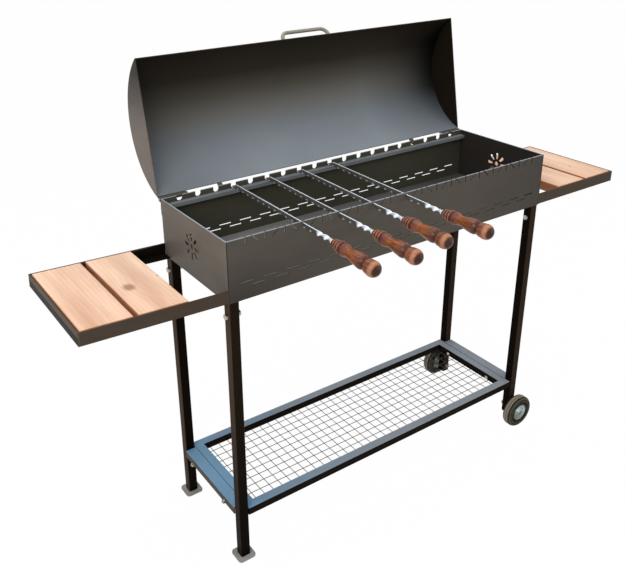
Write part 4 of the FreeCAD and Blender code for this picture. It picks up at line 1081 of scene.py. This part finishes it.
class GRILL_OT_hardware(bpy.types.Operator):
    """Plated bolts, nuts, hinge pins and axles"""

    bl_idname = "grill.hardware"
    bl_label = "Plated hardware"

    def execute(self, context):
        zinc = plated_metal("zinc_plate", chosen("zinc"), 0.34)
        names = ["leg_bolts", "leg_nuts", "shelf_bolts", "shelf_nuts", "hinge_pins"]
        paint_nodes(names, zinc)
        axle = plated_metal("axle_zinc", toned(chosen("zinc"), 0.55), 0.4)
        paint_nodes(["wheel_front_axle", "wheel_back_axle"], axle)
        return {"FINISHED"}


class GRILL_OT_boards(bpy.types.Operator):
    """Four boards of the side tables"""

    bl_idname = "grill.boards"
    bl_label = "Table boards"

    def execute(self, context):
        paint = board_wood("board_wood", chosen("board"), chosen("board_edge"))
        sizes = context.scene.grill_sizes
        for side in ("left", "right"):
            for place, (near, far) in (("inner", BOARD_INNER), ("outer", BOARD_OUTER)):
                node = f"table_{side}_board_{place}"
                low = Vector((near, MIDDLE_Y - BOARD_HALF_LENGTH, TABLE_TOP - BOARD_THICK))
                high = Vector((far, MIDDLE_Y + BOARD_HALF_LENGTH, TABLE_TOP))
                if side == "left":
                    low.x, high.x = -far, -near
                mesh = bmesh.new()
                box_between(mesh, low, high)
                round_edges(mesh, mesh.edges[:], sizes.board_round, 4)
                layer = mesh.loops.layers.uv.new("face")
                for face in mesh.faces:
                    for loop in face.loops:
                        spot = loop.vert.co
                        loop[layer].uv = (
                            min(spot.x - low.x, high.x - spot.x),
                            min(spot.y - low.y, high.y - spot.y),
                        )
                if side == "left":
                    turn = Matrix.Rotation(TABLE_TURN, 3, "Y")
                    bmesh.ops.rotate(mesh, verts=mesh.verts, cent=TABLE_EDGE, matrix=turn)
                new_piece(f"{node}_wood", mesh, paint, "grill", [node])
        return {"FINISHED"}


class GRILL_OT_wheels(bpy.types.Operator):
    """Tyres and pressed hubs of both wheels"""

    bl_idname = "grill.wheels"
    bl_label = "Wheels"

    def execute(self, context):
        tyre = rubber("tyre_rubber", (0.011, 0.009, 0.006), TREAD_DUST)
        disc = hub_zinc("hub_zinc", toned(chosen("zinc"), (0.38, 0.48, 0.43)))
        outline = tyre_outline()
        mirrored = [(-along, radius) for along, radius in reversed(outline)]
        for name, y in WHEEL_PLACES.items():
            centre = Vector((WHEEL_X, y, WHEEL_Z))
            mesh = bmesh.new()
            lathe(mesh, outline + mirrored + outline[:1], 96, centre, (0, 1, 0))
            new_piece(
                f"wheel_{name}_tyre_rubber",
                mesh,
                tyre,
                f"wheel_{name}",
                [f"wheel_{name}_tyre"],
            )
            paint_nodes([f"wheel_{name}_hub"], disc)
        return {"FINISHED"}


class GRILL_OT_blades(bpy.types.Operator):
    """Skewer blades: flat bar on edge, a twist and a ferrule"""

    bl_idname = "grill.blades"
    bl_label = "Skewer blades"

    def execute(self, context):
        steel = blade_steel("skewer_steel", chosen("steel"))
        for number in SKEWERS:
            length = (BACK_Y + POINT_PAST - ferrule_y(number)) / math.cos(REST_SLOPE)
            mesh = bmesh.new()
            blade_bar(mesh, length)
            layer = mesh.loops.layers.uv.new("blade")
            for face in mesh.faces:
                for loop in face.loops:
                    loop[layer].uv = (loop.vert.co.y, loop.vert.co.z)
            twist_and_point(mesh, length, context.scene.grill_sizes.twist_turns)
            bmesh.ops.transform(mesh, matrix=grip_bend(number), verts=ferrule(mesh))
            bmesh.ops.transform(mesh, matrix=skewer_place(number), verts=mesh.verts)
            node = f"skewer_{number}_blade"
            new_piece(f"{node}_steel", mesh, steel, f"skewer_{number}", [node])
        return {"FINISHED"}


class GRILL_OT_grips(bpy.types.Operator):
    """Turned grips of the skewers"""

    bl_idname = "grill.grips"
    bl_label = "Skewer grips"

    def execute(self, context):
        wood = grip_wood("grip_wood", chosen("grip"))
        outline = grip_outline()
        for number in SKEWERS:
            mesh = bmesh.new()
            lathe(mesh, outline, 64, Vector(), (0, 1, 0))
            layer = mesh.loops.layers.uv.new("grip")
            for face in mesh.faces:
                for loop in face.loops:
                    spot = loop.vert.co
                    loop[layer].uv = (-spot.y, math.hypot(spot.x, spot.z))
            lie = skewer_place(number) @ grip_bend(number)
            bmesh.ops.transform(mesh, matrix=lie, verts=mesh.verts)
            node = f"skewer_{number}_grip"
            new_piece(f"{node}_wood", mesh, wood, f"skewer_{number}", [node], 60)
        return {"FINISHED"}


def white_share(paint, camera_share):
    """How much of the plain white a ray meets: all of it in mirrors and through glass."""
    camera = paint.node("ShaderNodeLightPath", output="Is Camera Ray")
    path = camera.socket.node
    glossy = Wire(paint, path.outputs["Is Glossy Ray"])
    clear = Wire(paint, path.outputs["Is Transmission Ray"])
    mirrored = paint.function("MAXIMUM", glossy, clear)
    return paint.function("MAXIMUM", mirrored, camera * camera_share)


def add_floor(scene):
    """Matt floor that keeps the grill's shadow and otherwise shows white."""
    paint = Paint("stage_white")
    white = paint.node("ShaderNodeEmission", None, {"Color": (1, 1, 1, 1), "Strength": 1.0})
    matt = paint.node("ShaderNodeBsdfDiffuse", None, {"Color": (0.8, 0.8, 0.8, 1)})
    share = white_share(paint, FLOOR_SEEN)
    both = paint.node("ShaderNodeMixShader", None, {0: share, 1: matt, 2: white})
    paint.node("ShaderNodeOutputMaterial", None, {"Surface": both})
    mesh = bmesh.new()
    bmesh.ops.create_grid(mesh, x_segments=1, y_segments=1, size=12)
    data = bpy.data.meshes.new("floor")
    mesh.to_mesh(data)
    mesh.free()
    data.materials.append(paint.block)
    floor = bpy.data.objects.new("floor", data)
    scene.collection.objects.link(floor)


def add_world(scene):
    """Soft bluish light from all round, which shows as white."""
    paint = Paint("studio", "worlds")
    dim = paint.node(
        "ShaderNodeBackground", None, {"Color": (0.92, 0.96, 1.0, 1), "Strength": 0.55}
    )
    plain = paint.node("ShaderNodeBackground", None, {"Color": (1, 1, 1, 1), "Strength": 1.0})
    share = white_share(paint, 1.0)
    both = paint.node("ShaderNodeMixShader", None, {0: share, 1: dim, 2: plain})
    paint.node("ShaderNodeOutputWorld", None, {"Surface": both})
    scene.world = paint.block


def add_lamps(scene):
    """Square lamps that aim at the firebox."""
    for name, (place, size, power) in LAMPS.items():
        lamp = bpy.data.lights.new(name, "AREA")
        lamp.size = size
        lamp.energy = power
        holder = bpy.data.objects.new(name, lamp)
        holder.location = place
        aim = Vector((0, MIDDLE_Y, 0.7)) - Vector(place)
        holder.rotation_euler = aim.to_track_quat("-Z", "Y").to_euler()
        scene.collection.objects.link(holder)


def add_camera(scene):
    """Camera at the viewpoint of the photograph."""
    data = bpy.data.cameras.new("camera")
    data.sensor_fit = "HORIZONTAL"
    data.sensor_width = 36
    data.lens = CAMERA_LENS
    data.shift_x, data.shift_y = CAMERA_SHIFT
    data.clip_end = 60
    camera = bpy.data.objects.new("camera", data)
    turn = Matrix(CAMERA_AXES).transposed().to_4x4()
    camera.matrix_world = Matrix.Translation(CAMERA_PLACE) @ turn
    scene.collection.objects.link(camera)
    scene.camera = camera


class GRILL_OT_stage(bpy.types.Operator):
    """Pale floor and backdrop, soft light and the camera"""

    bl_idname = "grill.stage"
    bl_label = "Stage"

    def execute(self, context):
        add_floor(context.scene)
        add_world(context.scene)
        add_lamps(context.scene)
        add_camera(context.scene)
        context.scene.view_settings.view_transform = "Standard"
        return {"FINISHED"}


class GRILL_PT_panel(bpy.types.Panel):
    """Sizes, colours and a button for each group of pieces"""

    bl_label = "Charcoal brazier grill"
    bl_idname = "GRILL_PT_panel"
    bl_space_type = "VIEW_3D"
    bl_region_type = "UI"
    bl_category = "Grill"

    def draw(self, context):
        for group in (context.scene.grill_sizes, context.scene.grill_colours):
            box = self.layout.box()
            for key in group.__annotations__:
                box.prop(group, key)
        for operator in OPERATORS:
            self.layout.operator(operator.bl_idname)


OPERATORS = (
    GRILL_OT_firebox,
    GRILL_OT_lid,
    GRILL_OT_legs,
    GRILL_OT_shelf,
    GRILL_OT_tables,
    GRILL_OT_hardware,
    GRILL_OT_boards,
    GRILL_OT_wheels,
    GRILL_OT_blades,
    GRILL_OT_grips,
    GRILL_OT_stage,
)
CLASSES = (GrillSizes, GrillColours, *OPERATORS, GRILL_PT_panel)


def register():
    for item in CLASSES:
        bpy.utils.register_class(item)
    bpy.types.Scene.grill_sizes = bpy.props.PointerProperty(type=GrillSizes)
    bpy.types.Scene.grill_colours = bpy.props.PointerProperty(type=GrillColours)


def unregister():
    del bpy.types.Scene.grill_colours
    del bpy.types.Scene.grill_sizes
    for item in reversed(CLASSES):
        bpy.utils.unregister_class(item)


def main():
    register()
    bpy.ops.grill.firebox()
    bpy.ops.grill.lid()
    bpy.ops.grill.legs()
    bpy.ops.grill.shelf()
    bpy.ops.grill.tables()
    bpy.ops.grill.hardware()
    bpy.ops.grill.boards()
    bpy.ops.grill.wheels()
    bpy.ops.grill.blades()
    bpy.ops.grill.grips()
    bpy.ops.grill.stage()


if __name__ == "__main__":
    main()
